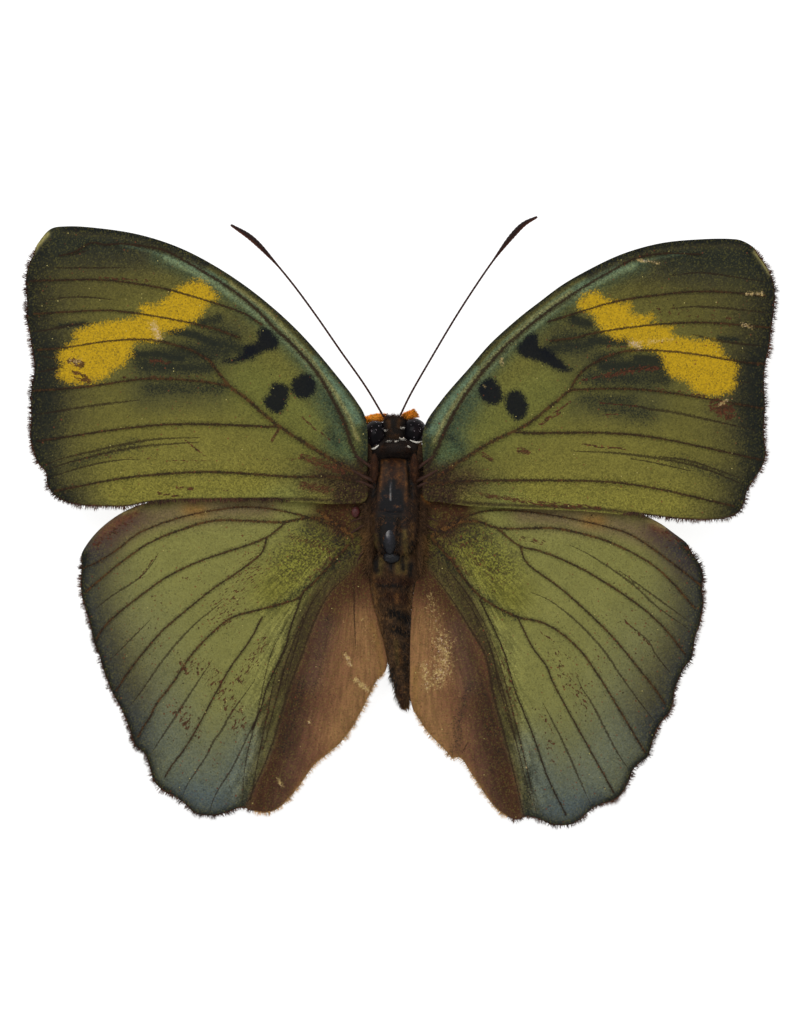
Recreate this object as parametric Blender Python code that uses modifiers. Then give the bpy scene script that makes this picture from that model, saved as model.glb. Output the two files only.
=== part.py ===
"""A spread, dried butterfly, seen from above: four veined wings, a hairy body, antennae and folded legs."""

import math

import bmesh
import bpy
import numpy as np
from mathutils import Vector
from mathutils.geometry import delaunay_2d_cdt

# Driving dimensions, in millimetres. X runs across the wings, +Y to the head, +Z to the back.
# The origin is on the flat underside of the thorax, below the middle of the back.
MM = 0.001
ROOT_HEIGHT = 4.95
WING_RISE = 0.016
WING_ARCH = 0.55
HALF_SPAN = 37.5
HINDWING_DROP = 0.95
HINDWING_DIP = 1.1
DIP_REACH = 3.2
DIP_START = 5.0
DIP_LENGTH = 7.0
VEIN_THICKNESS = 0.5
SHEET_SHARE = 0.56
EDGE_STEP = 1.05
VEIN_STEP = 1.75
SHEET_STEP = 2.5
EDGE_CLEARANCE = 0.7
VEIN_CLEARANCE = 0.95
KEEP_INSIDE = 1
MERGE_DISTANCE = 1e-6

THORAX_CENTRE = (0.0, -1.75, 2.9)
THORAX_HALF = (2.7, 5.15, 3.3)
THORAX_FACETS = (24, 16)
REST_CUT_SIDE = 20.0
REST_CUT_DEPTH = 5.0
SCUTELLUM_CENTRE = (-0.65, -4.5, 5.25)
SCUTELLUM_HALF = (0.85, 1.9, 0.95)
SCUTELLUM_FACETS = (14, 8)
COLLAR_CENTRE = (0.0, 3.95, 3.5)
COLLAR_HALF = (1.9, 0.38, 1.5)
COLLAR_FACETS = (16, 8)
HEAD_CENTRE = (0.0, 5.9, 3.2)
HEAD_HALF = (1.75, 1.45, 1.5)
HEAD_FACETS = (20, 12)
SOCKET_GAP = 0.2
EYES = {
    "left": ((-2.05, 5.45, 3.2), (1.1, 1.3, 1.35)),
    "right": ((2.0, 5.9, 3.2), (1.1, 1.15, 1.35)),
}
EYE_FACETS = (14, 9)
TEGULAE = {"left": (-2.15, 2.4, 5.7), "right": (2.15, 2.4, 5.7)}
TEGULA_HALF = (0.38, 1.25, 0.3)
TEGULA_FACETS = (10, 6)
BOXY = 3.0
ROUND = 2.0

ANTENNAE = {
    "left": [
        (-1.1, 7.3, 3.9), (-2.9, 10.3, 4.3), (-5.5, 14.0, 4.7), (-8.0, 17.6, 5.0),
        (-10.3, 20.7, 5.2), (-12.4, 23.2, 5.35), (-14.4, 25.2, 5.45), (-16.4, 26.5, 5.5),
    ],
    "right": [
        (0.5, 7.45, 3.9), (1.5, 9.5, 4.2), (3.5, 13.0, 4.6), (6.5, 18.0, 5.0),
        (9.5, 22.5, 5.25), (11.7, 25.4, 5.4), (12.9, 26.6, 5.45), (14.2, 27.3, 5.5),
    ],
}
ANTENNA_STEP = 1.5
SHAFT_RADIUS = 0.11
CLUB_RADIUS = 0.3
CLUB_LENGTH = 4.2
CLUB_END = 0.9
CLUB_FULLNESS = 0.8

PALPS = {
    "left": [
        (-0.9, 7.35, 2.2, 0.28), (-1.7, 7.3, 2.5, 0.38), (-2.5, 7.15, 2.7, 0.36), (-3.3, 6.95, 2.7, 0.1),
    ],
    "right": [
        (0.75, 7.4, 2.4, 0.24), (1.3, 7.75, 2.6, 0.38), (1.8, 7.95, 2.75, 0.42), (2.35, 8.05, 2.8, 0.1),
    ],
}
PALP_STEP = 0.5
COIL_CENTRE = (0.0, 6.25, 0.92)
COIL_RADII = (0.3, 0.76)
COIL_TURNS = 1.9
COIL_TUBE = 0.1
COIL_STEPS_PER_TURN = 12

# Each point is x, y, z and the radius there. The right legs mirror the left ones.
LEGS = {
    "foreleg": [
        (-0.75, 3.9, 1.35, 0.22), (-1.0, 4.9, 0.9, 0.22), (-1.2, 5.5, 0.7, 0.2),
        (-1.45, 4.6, 0.5, 0.17), (-1.6, 3.7, 0.4, 0.08),
    ],
    "midleg": [
        (-2.65, 0.6, 0.95, 0.36), (-3.05, 2.4, 0.75, 0.34), (-3.5, 4.3, 0.6, 0.26),
        (-4.2, 2.4, 0.45, 0.22), (-4.7, 0.2, 0.35, 0.2), (-4.9, -2.4, 0.2, 0.09),
    ],
    "hindleg": [
        (-2.8, -2.8, 0.95, 0.36), (-3.75, -4.0, 0.75, 0.36), (-4.7, -5.3, 0.6, 0.28),
        (-4.2, -7.4, 0.45, 0.23), (-3.6, -9.6, 0.35, 0.2), (-3.1, -12.6, 0.2, 0.09),
    ],
}
LEG_STEP = 1.15

# The abdomen's middle line and its radius, from the waist to the tip, and where its rings meet.
ABDOMEN = [
    (-0.1, -7.15, 2.75, 1.55), (-0.25, -8.2, 2.5, 2.2), (-0.3, -9.6, 2.42, 2.35), (-0.25, -11.2, 2.25, 2.12),
    (-0.15, -12.8, 2.05, 1.88), (0.1, -14.6, 1.9, 1.62), (0.35, -16.4, 1.75, 1.35), (0.55, -18.2, 1.65, 1.12),
    (0.75, -19.9, 1.55, 0.88), (0.9, -21.3, 1.5, 0.62), (1.0, -22.0, 1.5, 0.38),
]
ABDOMEN_STEP = 0.62
RING_LENGTH = 1.86
RING_DEPTH = 0.1
ABDOMEN_BEVEL = 5

# The forewing outlines run from the root along the front edge to the tip and back along the rear edge.
LEFT_FOREWING = [
    (-2.75, 2.0), (-2.95, 7.2), (-3.8, 8.8), (-5.5, 11.05), (-9.5, 15.7), (-13.5, 19.3),
    (-17.5, 22.1), (-21.5, 24.2), (-25.5, 25.5), (-29.5, 26.15), (-32.8, 26.35), (-34.4, 26.1),
    (-35.8, 24.5), (-36.8, 22.9), (-37.2, 21.3), (-37.1, 18.6), (-37.15, 17.2), (-36.8, 15.4),
    (-36.5, 13.4), (-36.35, 12.2), (-36.7, 9.8), (-36.7, 7.0), (-36.8, 5.2), (-36.4, 3.6),
    (-35.9, 2.4), (-35.2, 1.6), (-35.05, 0.4), (-34.4, -0.6), (-33.1, -1.45), (-31.4, -1.85),
    (-28.8, -1.97), (-26.8, -1.95), (-25.0, -1.6), (-22.5, -1.35), (-16.5, -1.25), (-10.5, -1.2),
    (-5.0, -1.4), (-2.9, -1.0),
]
RIGHT_FOREWING = [
    (2.85, 2.0), (2.9, 6.2), (4.5, 8.8), (7.5, 12.3), (9.5, 14.6), (12.5, 17.3), (14.5, 18.85),
    (16.5, 20.35), (18.5, 21.55), (22.5, 23.5), (26.5, 24.65), (30.5, 25.05), (33.5, 25.1),
    (34.6, 24.95), (35.8, 24.3), (36.8, 23.4), (37.5, 22.4), (38.1, 21.0), (38.3, 19.6),
    (38.2, 18.0), (37.9, 15.8), (37.75, 14.3), (37.35, 12.6), (37.2, 10.8), (37.3, 8.5),
    (37.2, 5.7), (37.4, 3.5), (37.0, 2.2), (36.2, 0.9), (35.5, -0.2), (35.2, -1.4), (34.5, -2.5),
    (33.2, -3.1), (31.5, -3.3), (29.0, -3.25), (25.5, -2.85), (22.5, -2.45), (18.5, -2.1),
    (12.5, -1.85), (7.5, -1.6), (4.5, -1.2), (2.95, -0.9),
]
# The hindwing outlines run from the root along the hidden front edge and round to the body.
LEFT_HINDWING = [
    (-3.5, -1.2), (-6.5, -0.3), (-11.0, 0.1), (-15.5, 0.1), (-19.5, -0.25), (-23.5, -0.95),
    (-26.5, -1.85), (-28.6, -3.1), (-30.3, -4.7), (-31.4, -6.4), (-31.75, -8.2), (-31.75, -10.3),
    (-31.4, -11.8), (-30.9, -13.4), (-30.5, -15.2), (-29.9, -16.7), (-29.4, -18.4), (-28.6, -20.4),
    (-27.6, -22.3), (-26.8, -24.3), (-26.3, -25.8), (-25.4, -26.5), (-24.9, -27.7), (-24.5, -29.1),
    (-23.5, -30.3), (-22.2, -31.0), (-21.2, -31.7), (-20.2, -32.6), (-19.0, -32.9), (-17.6, -32.85),
    (-16.2, -32.4), (-15.3, -32.1), (-14.5, -32.4), (-12.9, -32.65), (-11.5, -32.15),
    (-10.3, -31.0), (-9.1, -29.5), (-7.9, -27.8), (-6.7, -26.8), (-5.2, -25.5), (-4.3, -24.4),
    (-3.3, -22.7), (-2.5, -21.1), (-1.6, -19.3), (-1.05, -18.0), (-1.5, -15.5), (-2.1, -13.5),
    (-2.8, -11.0), (-3.2, -8.5), (-3.35, -6.5), (-3.15, -4.0),
]
RIGHT_HINDWING = [
    (3.3, -2.0), (5.5, -1.35), (10.0, -0.85), (14.0, -0.7), (18.5, -0.9), (21.5, -1.35),
    (24.4, -2.3), (26.5, -3.3), (27.9, -4.3), (29.2, -5.3), (30.2, -6.4), (30.95, -7.6),
    (31.2, -8.8), (31.1, -9.9), (31.25, -11.1), (31.05, -12.5), (30.8, -13.7), (30.4, -14.8),
    (30.2, -16.1), (30.0, -17.0), (29.2, -18.0), (28.7, -19.1), (28.3, -20.3), (28.2, -21.2),
    (27.8, -22.4), (26.9, -23.5), (26.3, -24.7), (25.9, -26.0), (25.55, -26.9), (24.7, -27.6),
    (24.1, -28.2), (23.7, -29.3), (22.9, -30.7), (22.1, -31.35), (20.9, -31.75), (20.0, -32.1),
    (18.8, -33.2), (17.8, -33.75), (16.8, -33.9), (15.6, -33.8), (14.5, -33.35), (13.3, -33.05),
    (12.2, -33.35), (11.3, -33.1), (10.3, -32.5), (9.2, -31.3), (8.2, -29.8), (7.2, -28.3),
    (6.35, -27.1), (5.7, -27.25), (4.9, -26.4), (3.8, -25.3), (2.8, -24.2), (2.15, -23.1),
    (1.9, -22.0), (1.8, -21.0), (1.9, -18.0), (2.05, -14.5), (2.4, -11.0), (3.0, -8.0), (3.3, -6.0),
    (3.2, -4.0),
]

# Veins, each from the root outwards.
LEFT_FOREWING_VEINS = [
    [(-3.9, 3.4), (-5.0, 6.5), (-6.4, 9.3), (-9.8, 14.0), (-13.9, 18.1), (-18.5, 21.3), (-24.5, 24.2),
     (-29.8, 24.6)],
    [(-13.2, 17.1), (-17.3, 18.4), (-22.5, 19.95), (-29.5, 21.0), (-35.9, 20.8)],
    [(-15.5, 15.2), (-21.4, 16.9), (-27.5, 17.85), (-36.0, 17.6)],
    [(-17.7, 12.0), (-20.0, 13.8), (-24.0, 14.95), (-30.0, 14.7), (-35.5, 14.0)],
    [(-3.9, 1.8), (-7.5, 3.8), (-11.5, 6.3), (-14.0, 8.4), (-17.7, 12.0)],
    [(-16.7, 10.4), (-22.0, 11.05), (-28.0, 10.75), (-35.6, 9.9)],
    [(-11.5, 6.3), (-18.5, 6.5), (-26.0, 6.2), (-35.6, 4.9)],
    [(-3.9, 1.0), (-9.5, 1.3), (-17.0, 1.75), (-24.0, 1.5), (-33.6, 0.0)],
]
RIGHT_FOREWING_VEINS = [
    [(3.9, 3.6), (5.5, 7.0), (7.6, 10.3), (11.6, 14.8), (16.8, 18.9), (21.0, 21.5), (24.5, 23.2),
     (30.5, 23.6)],
    [(15.3, 16.8), (20.5, 18.4), (26.5, 19.5), (32.5, 19.8), (37.0, 19.4)],
    [(15.5, 14.9), (21.0, 15.8), (27.0, 16.55), (33.0, 16.55), (37.1, 16.2)],
    [(17.5, 10.0), (19.0, 12.1), (23.0, 13.85), (29.0, 13.7), (36.2, 12.6)],
    [(3.9, 1.2), (8.0, 3.8), (12.0, 5.9), (17.5, 10.0)],
    [(17.5, 10.0), (23.5, 10.05), (29.5, 9.35), (36.3, 8.2)],
    [(12.0, 5.9), (19.5, 5.7), (25.5, 5.3), (31.5, 4.05), (36.5, 3.0)],
    [(3.9, 0.7), (11.5, 0.9), (20.5, 0.85), (27.5, -0.15), (33.3, -1.5)],
]
LEFT_HINDWING_VEINS = [
    [(-4.3, -3.2), (-7.7, -1.9), (-14.0, -1.5), (-22.0, -2.9), (-26.0, -4.55), (-30.9, -7.7)],
    [(-4.6, -4.4), (-8.0, -3.0), (-14.0, -3.1), (-19.5, -3.35), (-25.5, -5.9), (-30.9, -10.2)],
    [(-11.0, -3.3), (-15.0, -5.45), (-21.5, -7.95), (-27.5, -12.15), (-30.0, -14.9)],
    [(-12.8, -4.8), (-14.5, -7.2), (-18.7, -10.4), (-23.5, -14.3), (-28.0, -20.3)],
    [(-4.8, -5.6), (-9.5, -10.6), (-14.5, -12.2), (-18.0, -14.1), (-22.3, -19.4), (-25.8, -25.0)],
    [(-13.3, -12.1), (-17.3, -19.3), (-21.5, -26.5), (-23.4, -29.2)],
    [(-9.5, -11.0), (-10.9, -15.5), (-14.5, -24.0), (-18.5, -32.1)],
    [(-4.8, -8.0), (-8.7, -15.0), (-11.9, -24.3), (-14.7, -31.2)],
]
RIGHT_HINDWING_VEINS = [
    [(4.4, -3.5), (8.5, -2.3), (14.0, -2.3), (18.0, -3.2), (24.0, -4.7), (30.4, -9.4)],
    [(4.6, -4.4), (7.3, -3.2), (13.0, -3.8), (19.0, -4.45), (24.5, -6.7), (29.9, -11.7)],
    [(10.2, -3.8), (12.5, -5.6), (18.5, -7.8), (24.5, -11.65), (29.2, -16.6)],
    [(12.5, -5.6), (13.5, -7.6), (19.5, -12.6), (24.5, -18.0), (27.2, -21.6)],
    [(4.5, -5.8), (8.7, -10.8), (15.2, -13.5), (18.8, -16.4), (23.0, -23.0), (25.0, -26.3)],
    [(12.3, -12.8), (15.7, -19.0), (19.9, -26.7), (22.0, -30.4)],
    [(8.7, -11.0), (10.5, -16.5), (13.8, -24.5), (17.0, -33.2)],
    [(4.4, -8.6), (8.2, -15.0), (10.8, -24.5), (12.7, -32.5)],
]

WING_COLOUR = (0.20, 0.19, 0.055)
HINDWING_COLOUR = (0.15, 0.14, 0.06)
HIDE_COLOUR = (0.045, 0.026, 0.012)
SCUTUM_COLOUR = (0.10, 0.045, 0.016)
DARK_COLOUR = (0.012, 0.009, 0.008)
EYE_COLOUR = (0.006, 0.006, 0.008)
PALP_COLOUR = (0.70, 0.19, 0.02)


def clear_scene():
    for thing in list(bpy.data.objects):
        bpy.data.objects.remove(thing)


def new_collection(name, parent):
    collection = bpy.data.collections.new(name)
    parent.children.link(collection)
    return collection


def new_material(name, colour, roughness):
    material = bpy.data.materials.new(name)
    material.use_nodes = True
    shader = material.node_tree.nodes["Principled BSDF"]
    shader.inputs["Base Color"].default_value = (*colour, 1.0)
    shader.inputs["Roughness"].default_value = roughness
    shader.inputs["Metallic"].default_value = 0.0
    return material


def smooth_line(points, step, closed=False):
    """Points about one step apart on the centripetal Catmull-Rom curve through the given ones."""
    given = np.array(points, float)
    count = len(given)
    if closed:
        padded = np.vstack([given[-1], given, given[:2]])
    else:
        padded = np.vstack([2 * given[0] - given[1], given, 2 * given[-1] - given[-2]])
    line = []
    for i in range(count if closed else count - 1):
        p0, p1, p2, p3 = padded[i:i + 4]
        t1 = np.linalg.norm(p1 - p0) ** 0.5
        t2 = t1 + np.linalg.norm(p2 - p1) ** 0.5
        t3 = t2 + np.linalg.norm(p3 - p2) ** 0.5
        pieces = max(1, round(np.linalg.norm(p2 - p1) / step))
        for k in range(pieces):
            t = t1 + (t2 - t1) * k / pieces
            a1 = p0 * (t1 - t) / t1 + p1 * t / t1
            a2 = p1 * (t2 - t) / (t2 - t1) + p2 * (t - t1) / (t2 - t1)
            a3 = p2 * (t3 - t) / (t3 - t2) + p3 * (t - t2) / (t3 - t2)
            b1 = a1 * (t2 - t) / t2 + a2 * t / t2
            b2 = a2 * (t3 - t) / (t3 - t1) + a3 * (t - t1) / (t3 - t1)
            line.append(b1 * (t2 - t) / (t2 - t1) + b2 * (t - t1) / (t2 - t1))
    if not closed:
        line.append(given[-1])
    return np.array(line)


def add_mesh_object(name, mesh, collection, material):
    thing = bpy.data.objects.new(name, mesh)
    mesh.name = name
    if material:
        mesh.materials.append(material)
    collection.objects.link(thing)
    return thing


def add_blob(name, centre, half, power, facets, collection, material):
    """A rounded solid: a sphere for a power of 2, and boxier for a higher one."""
    shape = bmesh.new()
    bmesh.ops.create_uvsphere(shape, u_segments=facets[0], v_segments=facets[1], radius=1.0)
    for vertex in shape.verts:
        size = sum(abs(value) ** power for value in vertex.co) ** (1.0 / power)
        vertex.co = Vector([c * h * MM / size for c, h in zip(vertex.co, half)])
        vertex.co += Vector(centre) * MM
    mesh = bpy.data.meshes.new(name)
    shape.to_mesh(mesh)
    shape.free()
    mesh.shade_smooth()
    return add_mesh_object(name, mesh, collection, material)


def add_tube(name, points, bevel_resolution, collection, material):
    """A round tube through points of x, y, z and radius, with closed ends."""
    curve = bpy.data.curves.new(name, "CURVE")
    curve.dimensions = "3D"
    curve.bevel_depth = MM
    curve.bevel_resolution = bevel_resolution
    curve.use_fill_caps = True
    spline = curve.splines.new("POLY")
    spline.points.add(len(points) - 1)
    for target, (x, y, z, radius) in zip(spline.points, points):
        target.co = (x * MM, y * MM, z * MM, 1.0)
        target.radius = radius
    curve.materials.append(material)
    thing = bpy.data.objects.new(name, curve)
    collection.objects.link(thing)
    return thing


def add_boolean(thing, other, operation):
    cut = thing.modifiers.new(f"{operation.lower()} {other.name}", "BOOLEAN")
    cut.operation = operation
    cut.solver = "EXACT"
    cut.object = other


def hide_helper(thing):
    thing.hide_render = True
    thing.display_type = "WIRE"


def wing_height(x, y, drop, dip):
    """The height of a wing's middle sheet: a slight rise to the tips over a low arch.

    Drop sets a whole wing lower, and dip lowers it where it lies beside the abdomen."""
    across = min(abs(x) / HALF_SPAN, 1.0)
    behind = min(max((-y - DIP_START) / DIP_LENGTH, 0.0), 1.0)
    beside = math.exp(-((abs(x) / DIP_REACH) ** 2))
    arch = WING_ARCH * math.sin(math.pi * across)
    return ROOT_HEIGHT + WING_RISE * abs(x) + arch - drop - dip * behind * beside


def nearest(point, others):
    return min((math.dist(point, other) for other in others), default=math.inf)


def add_wing(name, outline, veins, drop, dip, collection, material):
    """A sheet with the given outline, thicker along its veins."""
    edge = [tuple(p) for p in smooth_line(outline, EDGE_STEP, closed=True)]
    points = list(edge)
    lines = [(i, (i + 1) % len(edge)) for i in range(len(edge))]
    for vein in veins:
        previous = None
        for place in smooth_line(vein, VEIN_STEP):
            place = tuple(place)
            if nearest(place, edge) < EDGE_CLEARANCE:
                continue
            gaps = [math.dist(place, other) for other in points]
            index = gaps.index(min(gaps))
            if gaps[index] > EDGE_CLEARANCE:
                index = len(points)
                points.append(place)
            if previous is not None and previous != index:
                lines.append((previous, index))
            previous = index
    vein_count = len(points)
    low = np.min(edge, axis=0)
    high = np.max(edge, axis=0)
    row_height = SHEET_STEP * math.sqrt(3) / 2
    for row in range(int((high[1] - low[1]) / row_height) + 1):
        shift = SHEET_STEP / 2 if row % 2 else 0.0
        for column in range(int((high[0] - low[0]) / SHEET_STEP) + 1):
            place = (low[0] + shift + column * SHEET_STEP, low[1] + row * row_height)
            if nearest(place, points[:vein_count]) > VEIN_CLEARANCE:
                points.append(place)
    ring = list(range(len(edge)))
    made = delaunay_2d_cdt([Vector(p) for p in points], lines, [ring], KEEP_INSIDE, MERGE_DISTANCE)
    places, faces, sources = made[0], made[2], made[3]
    used = sorted({corner for face in faces for corner in face})
    renumbered = {old: new for new, old in enumerate(used)}
    sheet = []
    for x, y in (places[i] for i in used):
        sheet.append((x * MM, y * MM, wing_height(x, y, drop, dip) * MM))
    mesh = bpy.data.meshes.new(name)
    mesh.from_pydata(sheet, [], [[renumbered[corner] for corner in face] for face in faces])
    mesh.shade_smooth()
    thing = add_mesh_object(name, mesh, collection, material)
    on_vein = [renumbered[i] for i in used if any(len(edge) <= s < vein_count for s in sources[i])]
    thing.vertex_groups.new(name="veins").add(on_vein, 1.0, "REPLACE")
    solid = thing.modifiers.new("thickness", "SOLIDIFY")
    solid.thickness = VEIN_THICKNESS * MM
    solid.offset = 0.0
    solid.vertex_group = "veins"
    solid.thickness_vertex_group = SHEET_SHARE
    return thing


def add_below_rest(cutters):
    """A slab whose top is the plane that the specimen rests on."""
    shape = bmesh.new()
    bmesh.ops.create_cube(shape, size=1.0)
    size = (REST_CUT_SIDE * MM, REST_CUT_SIDE * MM, REST_CUT_DEPTH * MM)
    bmesh.ops.scale(shape, vec=size, verts=shape.verts)
    place = (THORAX_CENTRE[0] * MM, THORAX_CENTRE[1] * MM, -REST_CUT_DEPTH * MM / 2)
    bmesh.ops.translate(shape, vec=place, verts=shape.verts)
    mesh = bpy.data.meshes.new("below_rest_shape")
    shape.to_mesh(mesh)
    shape.free()
    below = add_mesh_object("below_rest_shape", mesh, cutters, None)
    hide_helper(below)
    return below


def add_thorax(collection, cutters, material):
    thorax = add_blob("thorax", THORAX_CENTRE, THORAX_HALF, BOXY, THORAX_FACETS, collection, material)
    scutellum = add_blob(
        "scutellum_shape", SCUTELLUM_CENTRE, SCUTELLUM_HALF, ROUND, SCUTELLUM_FACETS, cutters, None
    )
    hide_helper(scutellum)
    add_boolean(thorax, scutellum, "UNION")
    add_boolean(thorax, add_below_rest(cutters), "DIFFERENCE")


def add_head(collection, cutters, head_material, eye_material):
    head = add_blob("head", HEAD_CENTRE, HEAD_HALF, ROUND, HEAD_FACETS, collection, head_material)
    for side, (centre, half) in EYES.items():
        add_blob(f"eye_{side}", centre, half, ROUND, EYE_FACETS, collection, eye_material)
        wider = [value + SOCKET_GAP for value in half]
        socket = add_blob(f"socket_{side}", centre, wider, ROUND, EYE_FACETS, cutters, None)
        hide_helper(socket)
        add_boolean(head, socket, "DIFFERENCE")


def add_antenna(side, collection, material):
    line = smooth_line(ANTENNAE[side], ANTENNA_STEP)
    lengths = np.linalg.norm(np.diff(line, axis=0), axis=1)
    to_tip = lengths.sum() - np.concatenate([[0.0], np.cumsum(lengths)])
    points = []
    for place, left in zip(line, to_tip):
        along_club = max(0.0, 1.0 - left / CLUB_LENGTH) * CLUB_END
        swell = math.sin(math.pi * along_club) ** CLUB_FULLNESS
        points.append((*place, SHAFT_RADIUS + (CLUB_RADIUS - SHAFT_RADIUS) * swell))
    add_tube(f"antenna_{side}", points, 1, collection, material)


def add_proboscis(collection, material):
    steps = round(COIL_TURNS * COIL_STEPS_PER_TURN)
    inner, outer = COIL_RADII
    x, y, z = COIL_CENTRE
    points = []
    for i in range(steps + 1):
        angle = 2.0 * math.pi * COIL_TURNS * i / steps
        reach = outer + (inner - outer) * i / steps
        points.append((x, y + reach * math.sin(angle), z + reach * math.cos(angle), COIL_TUBE))
    add_tube("proboscis", points, 0, collection, material)


def add_legs(collection, material):
    for kind, route in LEGS.items():
        line = smooth_line(route, LEG_STEP)
        for side, mirror in (("left", 1.0), ("right", -1.0)):
            points = [(mirror * x, y, z, radius) for x, y, z, radius in line]
            add_tube(f"{kind}_{side}", points, 1, collection, material)


def add_abdomen(collection, material):
    """One tapering tube, pinched a little where its rings meet and less so near the tip."""
    line = smooth_line(ABDOMEN, ABDOMEN_STEP)
    first = line[0][1]
    points = []
    for x, y, z, radius in line:
        pinch = abs(math.cos(math.pi * (first - y) / RING_LENGTH)) * min(radius, 1.0)
        points.append((x, y, z, radius - RING_DEPTH * pinch))
    add_tube("abdomen", points, ABDOMEN_BEVEL, collection, material)


def main():
    clear_scene()
    body = new_collection("spread butterfly", bpy.context.scene.collection)
    cutters = new_collection("cutters", bpy.context.scene.collection)
    forewing = new_material("forewing scales", WING_COLOUR, 0.7)
    hindwing = new_material("hindwing scales", HINDWING_COLOUR, 0.7)
    hide = new_material("brown hair", HIDE_COLOUR, 0.8)
    scutum = new_material("thorax shell", SCUTUM_COLOUR, 0.5)
    dark = new_material("dark shell", DARK_COLOUR, 0.45)
    eye = new_material("eye", EYE_COLOUR, 0.12)
    palp = new_material("palp hair", PALP_COLOUR, 0.8)

    low = HINDWING_DROP
    add_wing("forewing_left", LEFT_FOREWING, LEFT_FOREWING_VEINS, 0.0, 0.0, body, forewing)
    add_wing("forewing_right", RIGHT_FOREWING, RIGHT_FOREWING_VEINS, 0.0, 0.0, body, forewing)
    add_wing("hindwing_left", LEFT_HINDWING, LEFT_HINDWING_VEINS, low, HINDWING_DIP, body, hindwing)
    add_wing("hindwing_right", RIGHT_HINDWING, RIGHT_HINDWING_VEINS, low, HINDWING_DIP, body, hindwing)
    add_thorax(body, cutters, scutum)
    add_blob("prothorax", COLLAR_CENTRE, COLLAR_HALF, BOXY, COLLAR_FACETS, body, hide)
    add_head(body, cutters, hide, eye)
    for side, centre in TEGULAE.items():
        add_blob(f"tegula_{side}", centre, TEGULA_HALF, ROUND, TEGULA_FACETS, body, scutum)
    for side in ("left", "right"):
        add_antenna(side, body, dark)
        palp_line = smooth_line(PALPS[side], PALP_STEP)
        add_tube(f"palp_{side}", [tuple(p) for p in palp_line], 1, body, palp)
    add_proboscis(body, dark)
    add_legs(body, dark)
    add_abdomen(body, hide)


main()
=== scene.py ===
"""Looks of a spread, dried butterfly: scaled and veined wings, bristly fringes, a hairy body and dry legs."""

import math

import bpy
import numpy as np
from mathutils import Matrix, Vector
from mathutils.geometry import delaunay_2d_cdt


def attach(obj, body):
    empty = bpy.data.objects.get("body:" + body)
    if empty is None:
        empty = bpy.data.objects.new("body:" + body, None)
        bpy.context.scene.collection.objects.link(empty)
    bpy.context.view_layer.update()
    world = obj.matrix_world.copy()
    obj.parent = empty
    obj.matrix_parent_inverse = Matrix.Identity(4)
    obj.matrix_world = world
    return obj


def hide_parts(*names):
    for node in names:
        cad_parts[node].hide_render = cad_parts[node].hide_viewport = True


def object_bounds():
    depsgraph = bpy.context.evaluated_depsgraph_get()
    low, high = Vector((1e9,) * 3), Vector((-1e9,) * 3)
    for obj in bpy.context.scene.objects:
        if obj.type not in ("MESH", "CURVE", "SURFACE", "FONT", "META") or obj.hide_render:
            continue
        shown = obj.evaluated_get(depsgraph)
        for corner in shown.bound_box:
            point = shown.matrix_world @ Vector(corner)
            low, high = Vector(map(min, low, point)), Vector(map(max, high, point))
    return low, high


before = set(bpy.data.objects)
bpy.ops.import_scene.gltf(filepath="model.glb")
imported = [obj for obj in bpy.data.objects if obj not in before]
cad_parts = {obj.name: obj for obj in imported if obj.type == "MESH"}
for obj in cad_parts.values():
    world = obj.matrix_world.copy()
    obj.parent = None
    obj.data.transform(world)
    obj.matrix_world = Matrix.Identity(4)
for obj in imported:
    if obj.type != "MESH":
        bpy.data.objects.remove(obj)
CAD_LOW, CAD_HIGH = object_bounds()

# Sizes are in millimetres in the part's own frame: X across the wings, +Y to the head, +Z out of the back.
MM = 0.001
HAIR_TOP = 6.35

# The height of the wings' middle sheets, as in the part. The hindwings dip beside the abdomen.
ROOT_HEIGHT = 4.95
WING_RISE = 0.016
WING_ARCH = 0.55
HALF_SPAN = 37.5
HINDWING_DROP = 0.95
HINDWING_DIP = 1.1
DIP_REACH = 3.2
DIP_START = 5.0
DIP_LENGTH = 7.0

# The membrane: half its thickness, how it thins to its edge, its mesh spacings, its veins, folds and ripples.
SHEET_HALF = 0.055
THIN_WITHIN = 0.6
THINNEST = 0.15
SHEET_STEP = 0.19
UNDER_STEP = 0.42
EDGE_STEP = 0.22
LINE_STEP = 0.3
LINE_GAP = 0.1
LINE_MARGIN = 0.12
PART_STEP = 0.8
VEIN_RISE = 0.085
VEIN_SPREAD = 1.4
FOLD_DEPTH = 0.05
FOLD_SPREAD = 1.8
FOLD_START = 0.2
RIPPLE = 0.05

# The membrane ends inside the fringe's tips, and a hindwing's inner edge reaches in under the body.
FRINGE_REACH = 0.32
FRINGE_FADE = 1.2
TUCK_FIRST = 0.25
TUCK_MORE = 0.65
TUCK_RAMP = 8.0

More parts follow.
